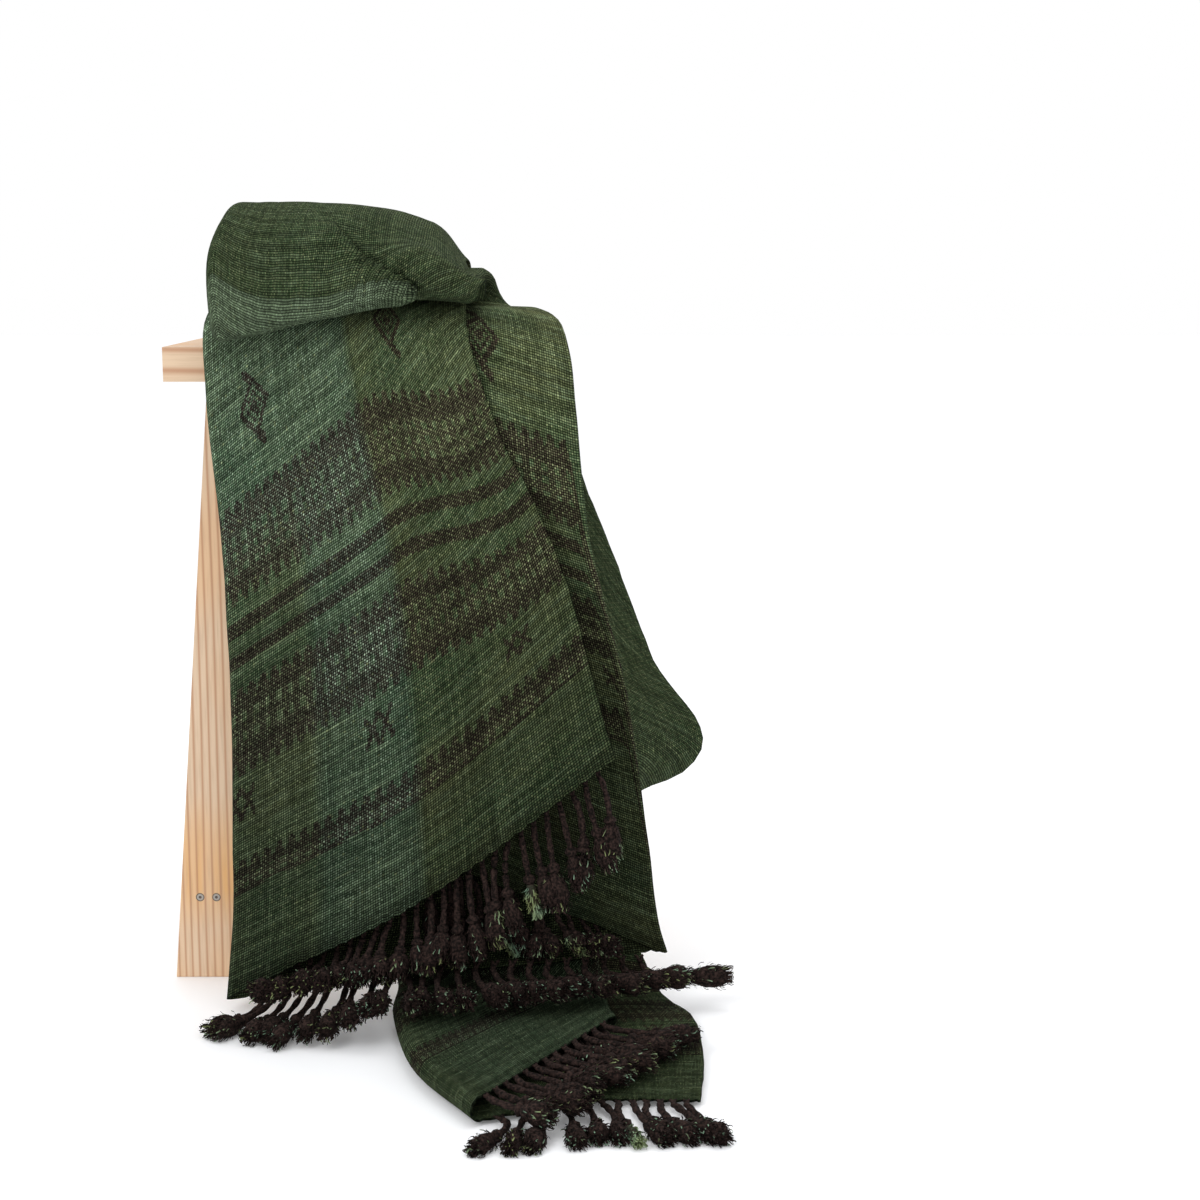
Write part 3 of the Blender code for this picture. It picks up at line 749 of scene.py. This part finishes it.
def make_cloth(mat):
    places, cols = cloth_places(), cloth_columns()
    grid = cloth_grid(places, cols)
    along = lengths_along(grid)
    across = lengths_across(grid, places)
    pattern = pattern_lengths(along, across, cols)
    grid[:, 0, 0] += [noise.noise(Vector((v * SELVEDGE_TURNS, 3.3, 0))) * SELVEDGE_WAVE for v in along[:, 0]]
    scallop_ends(grid, cols)
    normals = grid_normals(grid)
    mid = grid + normals * wrinkle(grid, along, across)[:, :, None]
    half = normals * (CLOTH_THICK / 2)
    verts = np.concatenate([(mid + half).reshape(-1, 3), (mid - half).reshape(-1, 3)])
    ob = make_object("throw_cloth", verts, sheet_faces(*grid.shape[:2]), mat)
    rows = zip(places, smooth_x(places, cols))
    painted_crease_shade = np.array([[crease_shade(place, x) for x in row] for place, row in rows])
    lengths = (("weave", along), ("pattern", pattern), ("second", along[-1] - along))
    add_cloth_layers(ob.data, painted_crease_shade, across, lengths)
    return ob


def tip_vector(name, at):
    rows = TIPS[name]
    shares = [row[0] for row in rows]
    return np.array([np.interp(at, shares, [row[k] for row in rows]) for k in (1, 2, 3)])


class Shape:
    """Vertices and faces of one piece, with a colour share at each vertex."""

    def __init__(self):
        self.verts, self.faces, self.tone = [], [], []

    def ring_tube(self, centres, radii, sides, tone, twist=0.0, lobes=0.0):
        """A closed tube through centres; lobes gives it two twisted strands."""
        base = len(self.verts)
        for k, (centre, radius) in enumerate(zip(centres, radii)):
            ahead = unit(centres[min(k + 1, len(centres) - 1)] - centres[max(k - 1, 0)])
            side = np.cross(ahead, (0.0, 0.0, 1.0))
            if np.linalg.norm(side) < 0.1:
                side = np.cross(ahead, (0.0, 1.0, 0.0))
            side = unit(side)
            lift = np.cross(side, ahead)
            for s in range(sides):
                angle = 2 * math.pi * s / sides
                swell = radius * (1 + lobes * math.cos(2 * (angle - twist * k)))
                self.verts.append(centre + side * swell * math.cos(angle) + lift * swell * math.sin(angle))
                self.tone.append(tone)
        for k in range(len(centres) - 1):
            for s in range(sides):
                a = base + k * sides + s
                b = base + k * sides + (s + 1) % sides
                self.faces.append((a, b, b + sides, a + sides))
        self.faces.append(tuple(base + s for s in reversed(range(sides))))
        last = base + (len(centres) - 1) * sides
        self.faces.append(tuple(last + s for s in range(sides)))

    def fibre(self, points, width, across, tones):
        """A thin flat fibre that narrows to its tip."""
        base = len(self.verts)
        count = len(points)
        for k, point in enumerate(points):
            half = across * width / 2 * (1 - FIBRE_NARROWS * k / (count - 1))
            self.verts += [point - half, point + half]
            self.tone += [tones[k], tones[k]]
        for k in range(count - 1):
            a = base + 2 * k
            self.faces.append((a, a + 1, a + 3, a + 2))

    def build(self, name, mat):
        ob = make_object(name, self.verts, self.faces, mat)
        add_values(ob.data, "tone", self.tone)
        return ob


def add_brush(shape, rnd, neck, end, pale):
    """The loose end below a tassel's knot: a soft core in a coat of short curled fibres."""
    heading = unit(end - neck)
    side = unit(np.cross(heading, (0.31, 0.2, 0.93)))
    lift = np.cross(heading, side)
    reach = np.linalg.norm(end - neck)
    wide = BRUSH_RADIUS * rnd.uniform(0.85, 1.12) * (0.55 if pale else 1.0)
    shares, widths = zip(*BRUSH_PROFILE)
    centres = [neck + heading * reach * t + side * rnd.uniform(-1, 1) * 0.0008 for t in shares]
    radii = [wide * 0.80 * r * rnd.uniform(0.9, 1.1) for r in widths]
    shape.ring_tube(centres, radii, 9, PALE_CORE_TONE if pale else CORE_TONE, BRUSH_TWIST, BRUSH_LOBES)
    for _ in range(BRUSH_FIBRES):
        angle = rnd.uniform(0, 2 * math.pi)
        t = rnd.random() ** 0.75
        aside = side * math.cos(angle) + lift * math.sin(angle)
        radius = wide * 0.72 * np.interp(t, shares, widths)
        lean = rnd.uniform(0.15, 0.85) * (1.35 - t)
        if rnd.random() < 0.3:
            t, radius, lean = 0.95, radius * math.sqrt(rnd.random()), rnd.uniform(0.0, 0.5)
        start = neck + heading * reach * t + aside * radius
        goes = heading * math.cos(lean) + aside * math.sin(lean)
        long = FIBRE_LENGTH * rnd.uniform(0.6, 1.2)
        curl = unit(np.array([rnd.gauss(0, 1) for _ in range(3)])) * long * FIBRE_CURL
        points = [start + goes * long * f + curl * math.sin(math.pi * f) for f in (0.0, 0.35, 0.7, 1.0)]
        across = unit(np.cross(goes, aside) + aside * rnd.uniform(-0.6, 0.6) + 1e-6)
        if pale:
            tones = PALE_FIBRE
        elif rnd.random() < TIPPED_SHARE:
            tones = TIPPED_FIBRE
        else:
            tones = [rnd.uniform(0.0, 0.15)] * 4
        shape.fibre(points, FIBRE_WIDTH, across, tones)


def add_tassel(shape, rnd, foot, direction, tip, pale):
    """A twisted cord from its foot to a knot and a loose end, hanging or lying as its tip says."""
    tip = tip * rnd.uniform(0.88, 1.06) + (rnd.uniform(-1, 1) * TIP_STRAY, 0, 0)
    length = np.linalg.norm(tip)
    bend = foot + direction * length * STRAND_SAG + (rnd.uniform(-1, 1) * BEND_STRAY, 0, 0)
    end = foot + tip

    def at(t):
        return foot * (1 - t) ** 2 + bend * 2 * t * (1 - t) + end * t * t

    cord = [at(KNOT_AT * k / CORD_STEPS) for k in range(CORD_STEPS + 1)]
    cord_radii = [CORD_RADIUS * rnd.uniform(0.92, 1.08)] * (CORD_STEPS + 1)
    shape.ring_tube(cord, cord_radii, 8, CORD_TONE, CORD_TWIST, CORD_LOBES)
    knot = [at(KNOT_AT + off) for off, _ in KNOT_PROFILE]
    knot_radii = [KNOT_RADIUS * share for _, share in KNOT_PROFILE]
    shape.ring_tube(knot, knot_radii, 8, KNOT_TONE, KNOT_TWIST, KNOT_LOBES)
    add_brush(shape, rnd, at(BRUSH_FROM), at(1.0), pale)


def make_fringe(name, first, last, second_end, strands, mat):
    """One row of tassels along an end of the cloth, each on two roots."""
    rnd = random.Random(name)
    parts = 2 * strands + 1
    cols = np.linspace(first, last, parts + 1)
    total = len(PATH) - 1
    places = [total - 0.04, total] if second_end else [0.04, 0.0]
    edge = cloth_grid(places + [places[1]], cols)[:2]
    out = unit(edge[1] - edge[0])
    start = edge[1] + out * STRIP_GAP
    stop = start + out * STRIP_WIDTH
    shape = Shape()
    for i in range(1, parts, 2):
        root = (start[i] + start[i + 1]) / 2
        foot = (stop[i] + stop[i + 1]) / 2
        for side in (i, i + 1):
            begin = edge[1][side] - out[side] * ROOT_DEPTH
            shape.ring_tube([begin, root * 0.5 + begin * 0.5, foot], ROOT_RADII, 5, ROOT_TONE)
        tip = tip_vector(name, (i + 0.5) / parts)
        pale = i // 2 in PALE_TASSELS.get(name, ())
        add_tassel(shape, rnd, foot, unit(out[i] + out[i + 1]), tip, pale)
    return shape.build(name + "_wool", mat)


class Nodes:
    """Short names for building a material's node tree."""

    def __init__(self, name):
        self.mat = bpy.data.materials.new(name)
        self.mat.use_nodes = True
        self.tree = self.mat.node_tree
        self.shader = self.tree.nodes["Principled BSDF"]

    def put(self, socket, value):
        if hasattr(value, "is_output"):
            self.tree.links.new(value, socket)
        else:
            socket.default_value = (*value, 1.0) if isinstance(value, tuple) else value

    def make(self, kind, inputs, output=0, **settings):
        node = self.tree.nodes.new("ShaderNode" + kind)
        for key, value in settings.items():
            setattr(node, key, value)
        for key, value in inputs.items():
            self.put(node.inputs[key], value)
        return node.outputs[output]

    def math(self, operation, a, b=0.0, c=0.0, clamp=False):
        return self.make("Math", {0: a, 1: b, 2: c}, operation=operation, use_clamp=clamp)

    # scaled is its first value times its second plus its third
    scaled = partialmethod(math, "MULTIPLY_ADD")
    divide = partialmethod(math, "DIVIDE")
    plus = partialmethod(math, "ADD")
    minus = partialmethod(math, "SUBTRACT")
    smaller = partialmethod(math, "MINIMUM")
    below = partialmethod(math, "LESS_THAN")
    above = partialmethod(math, "GREATER_THAN")
    absolute = partialmethod(math, "ABSOLUTE")
    floor = partialmethod(math, "FLOOR")
    remainder = partialmethod(math, "FLOORED_MODULO")
    power = partialmethod(math, "POWER")
    sine = partialmethod(math, "SINE")

    def gather(self, operation, first, *others):
        for other in others:
            first = self.math(operation, first, other)
        return first

    times = partialmethod(gather, "MULTIPLY")
    larger = partialmethod(gather, "MAXIMUM")

    def split(self, vector):
        return list(self.make("SeparateXYZ", {0: vector}).node.outputs)

    def uv(self, name):
        return self.split(self.make("UVMap", {}, uv_map=name))[:2]

    def attribute(self, name):
        return self.make("Attribute", {}, "Fac", attribute_name=name)

    def object_place(self):
        return self.make("TexCoord", {}, "Object")

    def join(self, x, y, z=0.0):
        return self.make("CombineXYZ", {0: x, 1: y, 2: z})

    def noise(self, vector, scale, detail=2.0):
        return self.make("TexNoise", {"Vector": vector, "Scale": scale, "Detail": detail})

    def cell(self, vector):
        """A random value from 0 to 1 for each whole-number place."""
        return self.make("TexWhiteNoise", {"Vector": vector}, "Value")

    def mix(self, share, a, b):
        return self.make("Mix", {0: share, 6: a, 7: b}, 2, data_type="RGBA")

    def range(self, value, a, b, c=0.0, d=1.0):
        return self.make("MapRange", {0: value, 1: a, 2: b, 3: c, 4: d})

    def fading(self, value, a, b):
        return self.range(value, a, b, 1.0, 0.0)

    def zone(self, value, a, b, c, d):
        """From 0 to 1 and back to 0."""
        return self.times(self.range(value, a, b), self.fading(value, c, d))

    def within(self, value, low, high):
        """1 where value lies between low and high."""
        return self.times(self.above(value, low), self.below(value, high))

    def set_shader(self, **values):
        for key, value in values.items():
            self.put(self.shader.inputs[key.replace("_", " ")], value)

    def bump(self, height, strength, distance):
        inputs = {"Strength": strength, "Distance": distance, "Height": height}
        self.set_shader(Normal=self.make("Bump", inputs))


def near_repeat(n, value, first, period):
    """The signed distance from the nearest repeat of a motif's middle."""
    shifted = n.minus(value, first - period / 2)
    wrapped = n.remainder(shifted, period)
    return n.minus(wrapped, period / 2)


def bands(n, u, s):
    """Bands with teeth: where the weft is brown, and where the brown is open so that the pale warp shows."""
    tooth = n.divide(n.math("PINGPONG", u, TOOTH_PITCH / 2), TOOTH_PITCH / 2)
    tooth = n.math("MULTIPLY", tooth, TOOTH_SLOPE, clamp=True)
    check_u = n.remainder(n.divide(u, TOOTH_PITCH), 1.0)
    check_s = n.remainder(n.divide(s, CHECK_LENGTH), 1.0)
    kept = n.minus(1.0, n.times(n.above(check_s, CHECK_GAP_PAST), n.below(check_u, CHECK_GAP_WITHIN)))
    brown, open_share = 0.0, 0.0
    for low, high, teeth_low, teeth_high, solid in BANDS:
        band = n.within(s, n.scaled(tooth, -teeth_low, low), n.scaled(tooth, teeth_high, high))
        if not solid:
            open_share = n.larger(open_share, band)
            band = n.times(band, kept)
        brown = n.larger(brown, band)
    return brown, open_share


def crosses(n, u, s):
    aside = near_repeat(n, u, CROSS_FIRST, CROSS_PERIOD)
    ahead = n.absolute(n.minus(s, CROSS_AT))
    arm = n.math("PINGPONG", n.plus(aside, CROSS_WIDTH), CROSS_WIDTH / 2)
    arm = n.minus(1.0, n.divide(arm, CROSS_WIDTH / 2))
    arm = n.absolute(n.minus(arm, n.divide(ahead, CROSS_RISE)))
    inside = n.times(n.below(ahead, CROSS_HEIGHT), n.below(n.absolute(aside), CROSS_WIDTH))
    return n.times(n.below(arm, CROSS_ARM), inside)


def diamonds(n, u, s):
    """Ringed diamonds, each with a short slanting tail at both of its points."""
    aside = near_repeat(n, u, DIAMOND_FIRST, DIAMOND_PERIOD)
    ahead = n.minus(s, DIAMOND_AT)
    du, ds = n.absolute(aside), n.absolute(ahead)
    size = n.plus(n.divide(du, DIAMOND_WIDTH), n.divide(ds, DIAMOND_HEIGHT))
    tail = n.absolute(n.minus(n.minus(ds, TAIL_FROM), du))
    shown = n.times(n.below(tail, TAIL_THICK), n.below(du, TAIL_WIDTH), n.below(ds, TAIL_HEIGHT))
    shown = n.times(shown, n.above(n.times(aside, ahead), SAME_SIDE))
    return n.larger(shown, *[n.within(size, low, high) for low, high in DIAMOND_RINGS])


class Weave(Nodes):
    """The cloth's node tree. raw_u runs across the cloth and raw_v along it; raw_s is the pattern's length,
    and raw_end the length from the second end, in metres. end and pick count warp and weft threads."""

    def __init__(self, name):
        super().__init__(name)
        self.raw_u, self.raw_v = self.uv("weave")
        self.raw_s = self.uv("pattern")[1]
        self.raw_end = self.uv("second")[1]
        self.flat = self.join(self.raw_u, self.raw_v)
        self.turned = self.times(self.below(self.raw_end, TURNED_WITHIN), self.above(self.raw_v, TURNED_PAST))
        rest = self.minus(TURNED_COUNT, self.plus(self.raw_end, self.raw_v))
        self.base_v = self.scaled(rest, self.turned, self.raw_v)
        wander = self.minus(self.noise(self.flat, 38.0), 0.5)
        drift = self.minus(self.noise(self.join(self.raw_v, self.raw_u, 4.0), 30.0), 0.5)
        self.v = self.scaled(drift, WEFT_WANDER, self.base_v)
        self.in_ends = self.divide(self.scaled(wander, WARP_WANDER, self.raw_u), WARP_PITCH)
        self.in_picks = self.divide(self.v, WEFT_PITCH)
        self.end, self.pick = self.floor(self.in_ends), self.floor(self.in_picks)

    def each(self, seed, low=0.0, high=1.0, ends=True, picks=True):
        """A random value for each crossing, or for each warp or weft thread."""
        value = self.cell(self.join(self.end if ends else 0.0, self.pick if picks else 0.0, seed))
        return self.range(value, 0.0, 1.0, low, high)


def relief(n):
    """How high each point of a plain weave stands, and how much of the warp shows there."""
    round_u = n.sine(n.times(n.minus(n.in_ends, n.end), math.pi))
    round_v = n.sine(n.times(n.minus(n.in_picks, n.pick), math.pi))
    parity = n.remainder(n.plus(n.end, n.pick), 2.0)
    warp_high = n.times(n.power(round_u, 0.7), n.power(round_v, 0.45))
    weft_high = n.times(n.power(round_v, 0.8), n.power(round_u, 0.20))
    height = n.plus(n.times(warp_high, parity), n.times(weft_high, n.minus(1.0, parity)))
    afloat = n.times(n.range(round_u, 0.40, 0.62), n.range(round_v, 0.10, 0.45))
    shown = n.times(n.scaled(parity, 0.62, 0.38), afloat, n.each(5.0, 0.20))
    return n.larger(height, n.times(round_v, 0.45)), shown


def pattern_mask(n, u, s):
    """Where the weft is brown, where the brown is open and where a motif lies."""
    brown, open_share = bands(n, u, s)
    motif = n.larger(crosses(n, u, s), diamonds(n, u, s))
    return n.larger(brown, motif), open_share, motif


def both_patterns(n):
    """The pattern from the first end with that of the second end, both counted in whole threads."""
    u = n.times(n.plus(n.end, 0.5), WARP_PITCH)
    v = n.times(n.plus(n.pick, 0.5), WEFT_PITCH)
    from_second = n.minus(n.plus(n.raw_end, n.base_v), v)
    near_end = n.below(from_second, SECOND_BANDS_END)
    brown, open_share, motif = pattern_mask(n, u, n.plus(v, n.minus(n.raw_s, n.base_v)))
    brown_end, open_end, _ = pattern_mask(n, u, from_second)
    brown = n.larger(brown, n.times(brown_end, near_end))
    return brown, n.larger(open_share, n.times(open_end, near_end)), motif


def teal_zone(n):
    """Where the warp is teal: a wide stripe down the front, turned darker olive low down over part of its
    width as painted shade, and part of the second end.
    """
    # Painted shade: the teal gives way to darker olive low on the front
    low_teal_shade = n.times(n.range(n.raw_u, *TEAL_SHADE_ACROSS), n.fading(n.raw_s, *TEAL_SHADE_ALONG))
    high = n.fading(n.raw_s, *TEAL_ALONG)
    front = n.times(n.zone(n.raw_u, *TEAL_ACROSS), n.scaled(low_teal_shade, -0.75, 1.0), high)
    second = n.times(n.range(n.raw_u, *SECOND_TEAL_ACROSS), n.below(n.raw_end, SECOND_TEAL_WITHIN))
    return n.larger(front, n.times(second, 0.6))


def warp_colour(n, zone, stripe):
    colour = n.mix(zone, OLIVE_WARP, TEAL_WARP)
    colour = n.mix(n.times(stripe, 0.7), colour, STRIPE_WARP)
    length = n.cell(n.join(n.end, n.floor(n.divide(n.v, THREAD_LENGTH)), 3.0))
    return n.mix(n.range(length, 0.0, 1.0, 0.0, 0.55), colour, OLIVE_WEFT)


def weft_colour(n, zone, stripe, brown):
    """Green and olive patches with teal in the warp's teal zone, pale streaks and brown picks."""
    olive = n.times(n.range(n.noise(n.flat, 8.0, 3.0), 0.38, 0.62), n.scaled(n.turned, -0.75, 1.0))
    colour = n.mix(olive, GREEN_WEFT, OLIVE_WEFT)
    colour = n.mix(n.times(zone, 0.6), colour, TEAL_WEFT)
    colour = n.mix(n.times(stripe, 0.75), colour, LIGHT_WEFT)
    streak = n.noise(n.join(n.times(n.raw_u, 34.0), n.times(n.pick, 1.7), 2.0), 1.0)
    pale = n.times(n.range(streak, 0.46, 0.72, 0.0, 0.48), n.scaled(zone, 0.5, 1.0))
    colour = n.mix(pale, colour, LIGHT_WEFT)
    rare = n.times(n.above(n.each(7.0, ends=False), 0.94), n.range(streak, 0.48, 0.66, 0.0, 0.26))
    return n.mix(brown, n.mix(rare, colour, PALE_FLECK), BROWN_WEFT)


def cloth_tone_and_shade(n, height):
    """How dark each point is: painted shade between threads, a random tone by threads, and painted shade near
    both ends, low on the left, past the roll and in the crease.
    """
    by_place = n.each(1.0, 0.65, 1.25)
    by_pick = n.each(21.0, 0.72, 1.30, ends=False)
    by_end = n.each(22.0, 0.82, 1.20, picks=False)
    # Painted shade, darker towards both ends of the cloth
    shade_near_ends = n.smaller(n.range(n.raw_s, 0.0, 0.40, 0.42, 1.0), n.range(n.raw_end, 0.0, 0.5, 0.66, 1.0))
    # Painted shade on all the cloth past the roll
    shade_past_roll = n.scaled(n.turned, -0.36, 1.0)
    # Painted shade low on the left of the front
    shade_low_left = n.times(n.range(n.raw_u, *LOW_LEFT_SHADE_ACROSS), n.fading(n.raw_s, *LOW_LEFT_SHADE_ALONG))
    # Painted shade in the crease between the roll's two lobes
    shade_in_crease = n.range(n.attribute("painted_crease_shade"), 0.0, 1.0, 1.0, 0.12)
    dark = n.times(by_place, by_pick, by_end, shade_near_ends, shade_past_roll, n.scaled(shade_low_left, -0.22, 1.0), shade_in_crease)
    # Painted shade in the gaps between threads, from the weave's height
    return n.times(n.scaled(n.power(height, 1.8), 0.93, 0.07), dark)


def wool_material():
    n = Weave("wool_green_woven")
    height, shown = relief(n)
    brown, open_share, motif = both_patterns(n)
    zone = teal_zone(n)
    stripe = n.times(n.within(n.raw_end, *STRIPE_ALONG), n.range(n.raw_u, *STRIPE_ACROSS), n.turned)

    # Less of the warp shows in closed brown, outside the bands and in motifs
    closed = n.scaled(n.times(brown, n.minus(1.0, open_share)), -0.38, 1.0)
    in_band = n.scaled(n.larger(brown, open_share), 0.40, 0.60)
    shown = n.times(shown, closed, in_band, n.scaled(motif, -0.35, 1.0))
    colour = n.mix(shown, weft_colour(n, zone, stripe, brown), warp_colour(n, zone, stripe))
    colour = n.mix(n.times(n.above(n.each(11.0), 0.985), 0.4), colour, PALE_FLECK)
    colour = n.make("VectorMath", {0: colour, "Scale": cloth_tone_and_shade(n, height)}, operation="SCALE")
    n.set_shader(Base_Color=colour, Roughness=0.95, Specular_IOR_Level=0.04)
    n.bump(n.scaled(n.noise(n.flat, 900.0), 0.35, height), 0.75, 0.0012)
    return n.mat


def fringe_material():
    n = Nodes("wool_dark_twisted")
    place = n.object_place()
    grain = n.noise(place, 420.0, 3.0)
    dark = n.mix(n.range(grain, 0.4, 0.7), *DARK_FRINGE)
    pale = n.mix(n.range(n.noise(place, 30.0, 1.0), 0.4, 0.6), *PALE_FRINGE)
    colour = n.mix(n.range(n.attribute("tone"), 0.25, 1.0), dark, pale)
    n.set_shader(Base_Color=colour, Roughness=0.95, Specular_IOR_Level=0.12)
    n.bump(grain, 0.6, 0.0010)
    return n.mat


def screw_heads(n, x, z, colour):
    """Two round sunk screw heads low on each leg, with painted shade at their sunk edges and in their slots.
    """
    nearest = None
    for row_x in SCREW_X:
        dx = n.minus(x, row_x + float(SHIFT[0]))
        dz = n.minus(z, SCREW_Z)
        away = n.math("SQRT", n.plus(n.times(dx, dx), n.times(dz, dz)))
        nearest = away if nearest is None else n.smaller(nearest, away)
    # The dark edge and slot are painted shade in the sunk head's recesses
    for share, tint in SCREW_RINGS:
        colour = n.mix(n.below(nearest, SCREW_RADIUS * share), colour, tint)
    return colour


def wood_material(name, along):
    """Pale pine with its grain along one axis: 0 for x, 1 for y, 2 for z."""
    n = Nodes(name)
    axes = n.split(n.object_place())
    vector = n.join(*[n.times(axis, 0.06 if k == along else 1.0) for k, axis in enumerate(axes)])
    across_grain = n.scaled(axes[(along + 2) % 3], 0.35, axes[(along + 1) % 3])
    rings = n.scaled(n.noise(vector, 14.0), 0.022, across_grain)
    wave = n.sine(n.times(rings, 2 * math.pi / GRAIN_PITCH))
    late = n.power(n.range(wave, -1.0, 1.0), 4.0)
    fine = n.noise(vector, 420.0, 3.0)
    stain = n.noise(n.join(axes[0], axes[1], n.times(axes[2], 0.4)), 16.0, 1.0)
    base = n.mix(n.range(stain, 0.45, 0.65), *PINE)
    low = n.times(n.zone(axes[2], *STAIN_HEIGHTS), n.range(n.noise(vector, 60.0), 0.35, 0.60))
    base = n.mix(n.times(low, 0.8), base, PINE_STAIN)
    colour = n.mix(n.times(late, 0.75), base, PINE_GRAIN)
    if along == 2:
        colour = screw_heads(n, axes[0], axes[2], colour)
    colour = n.mix(n.range(fine, 0.45, 0.75, 0.0, 0.30), colour, PINE_PORE)
    n.set_shader(Base_Color=colour, Roughness=0.6, Specular_IOR_Level=0.3)
    n.bump(n.scaled(fine, 0.4, late), 0.12, 0.0006)
    return n.mat


def make_stage():
    bpy.ops.mesh.primitive_plane_add(size=30, location=(0, 0, -0.0005))
    floor = bpy.context.object
    floor.name = "studio_floor"
    n = Nodes("studio_floor")
    white = (1.0, 1.0, 1.0)
    n.set_shader(Base_Color=FLOOR_PAINT, Roughness=0.5, Emission_Color=white, Emission_Strength=0.10)
    floor.data.materials.append(n.mat)
    world = bpy.data.worlds.new("studio")
    bpy.context.scene.world = world
    world.use_nodes = True
    background = world.node_tree.nodes["Background"]
    background.inputs[0].default_value = (1.0, 1.0, 1.0, 1.0)
    background.inputs[1].default_value = 1.0
    # name, place, power, size
    for name, place, power, size in (
        ("key", (-1.6, -2.0, 2.2), 34.0, 1.4),
        ("top", (0.2, 0.4, 2.4), 14.0, 1.4),
    ):
        data = bpy.data.lights.new(name, "AREA")
        data.energy = power
        data.size = size
        lamp = bpy.data.objects.new(name, data)
        bpy.context.scene.collection.objects.link(lamp)
        lamp.location = place
        aim = Vector((0.0, 0.0, 0.35)) - Vector(place)
        lamp.rotation_euler = aim.to_track_quat("-Z", "Y").to_euler()


def make_camera():
    data = bpy.data.cameras.new("camera")
    data.lens = CAMERA_LENS
    data.sensor_width = 36.0
    camera = bpy.data.objects.new("camera", data)
    bpy.context.scene.collection.objects.link(camera)
    camera.location = Vector(CAMERA_AT) + Vector(SHIFT)
    camera.rotation_euler = (math.radians(90) - CAMERA_DOWN, 0, 0)
    bpy.context.scene.camera = camera
    bpy.context.scene.view_settings.view_transform = "Standard"


def dress_stool():
    """Pine with its grain along each board, and softened edges."""
    boards = {"seat": ("pine_seat", 0), "rail": ("pine_rail", 1), "leg": ("pine_upright", 2)}
    woods = {board: wood_material(*grain) for board, grain in boards.items()}
    for name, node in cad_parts.items():
        wood = woods.get(name.split("_")[0])
        if wood:
            node.data.materials.clear()
            node.data.materials.append(wood)
            bevel = node.modifiers.new("edges", "BEVEL")
            bevel.width = 0.0015
            bevel.segments = 2


def main():
    cloth = make_cloth(wool_material())
    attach(cloth, "root")
    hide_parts("throw")
    wool = fringe_material()
    for name, first, last, second_end, strands in FRINGES:
        piece = make_fringe(name, first, last, second_end, strands, wool)
        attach(piece, "root")
        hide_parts(name)
    dress_stool()
    make_stage()
    make_camera()


main()
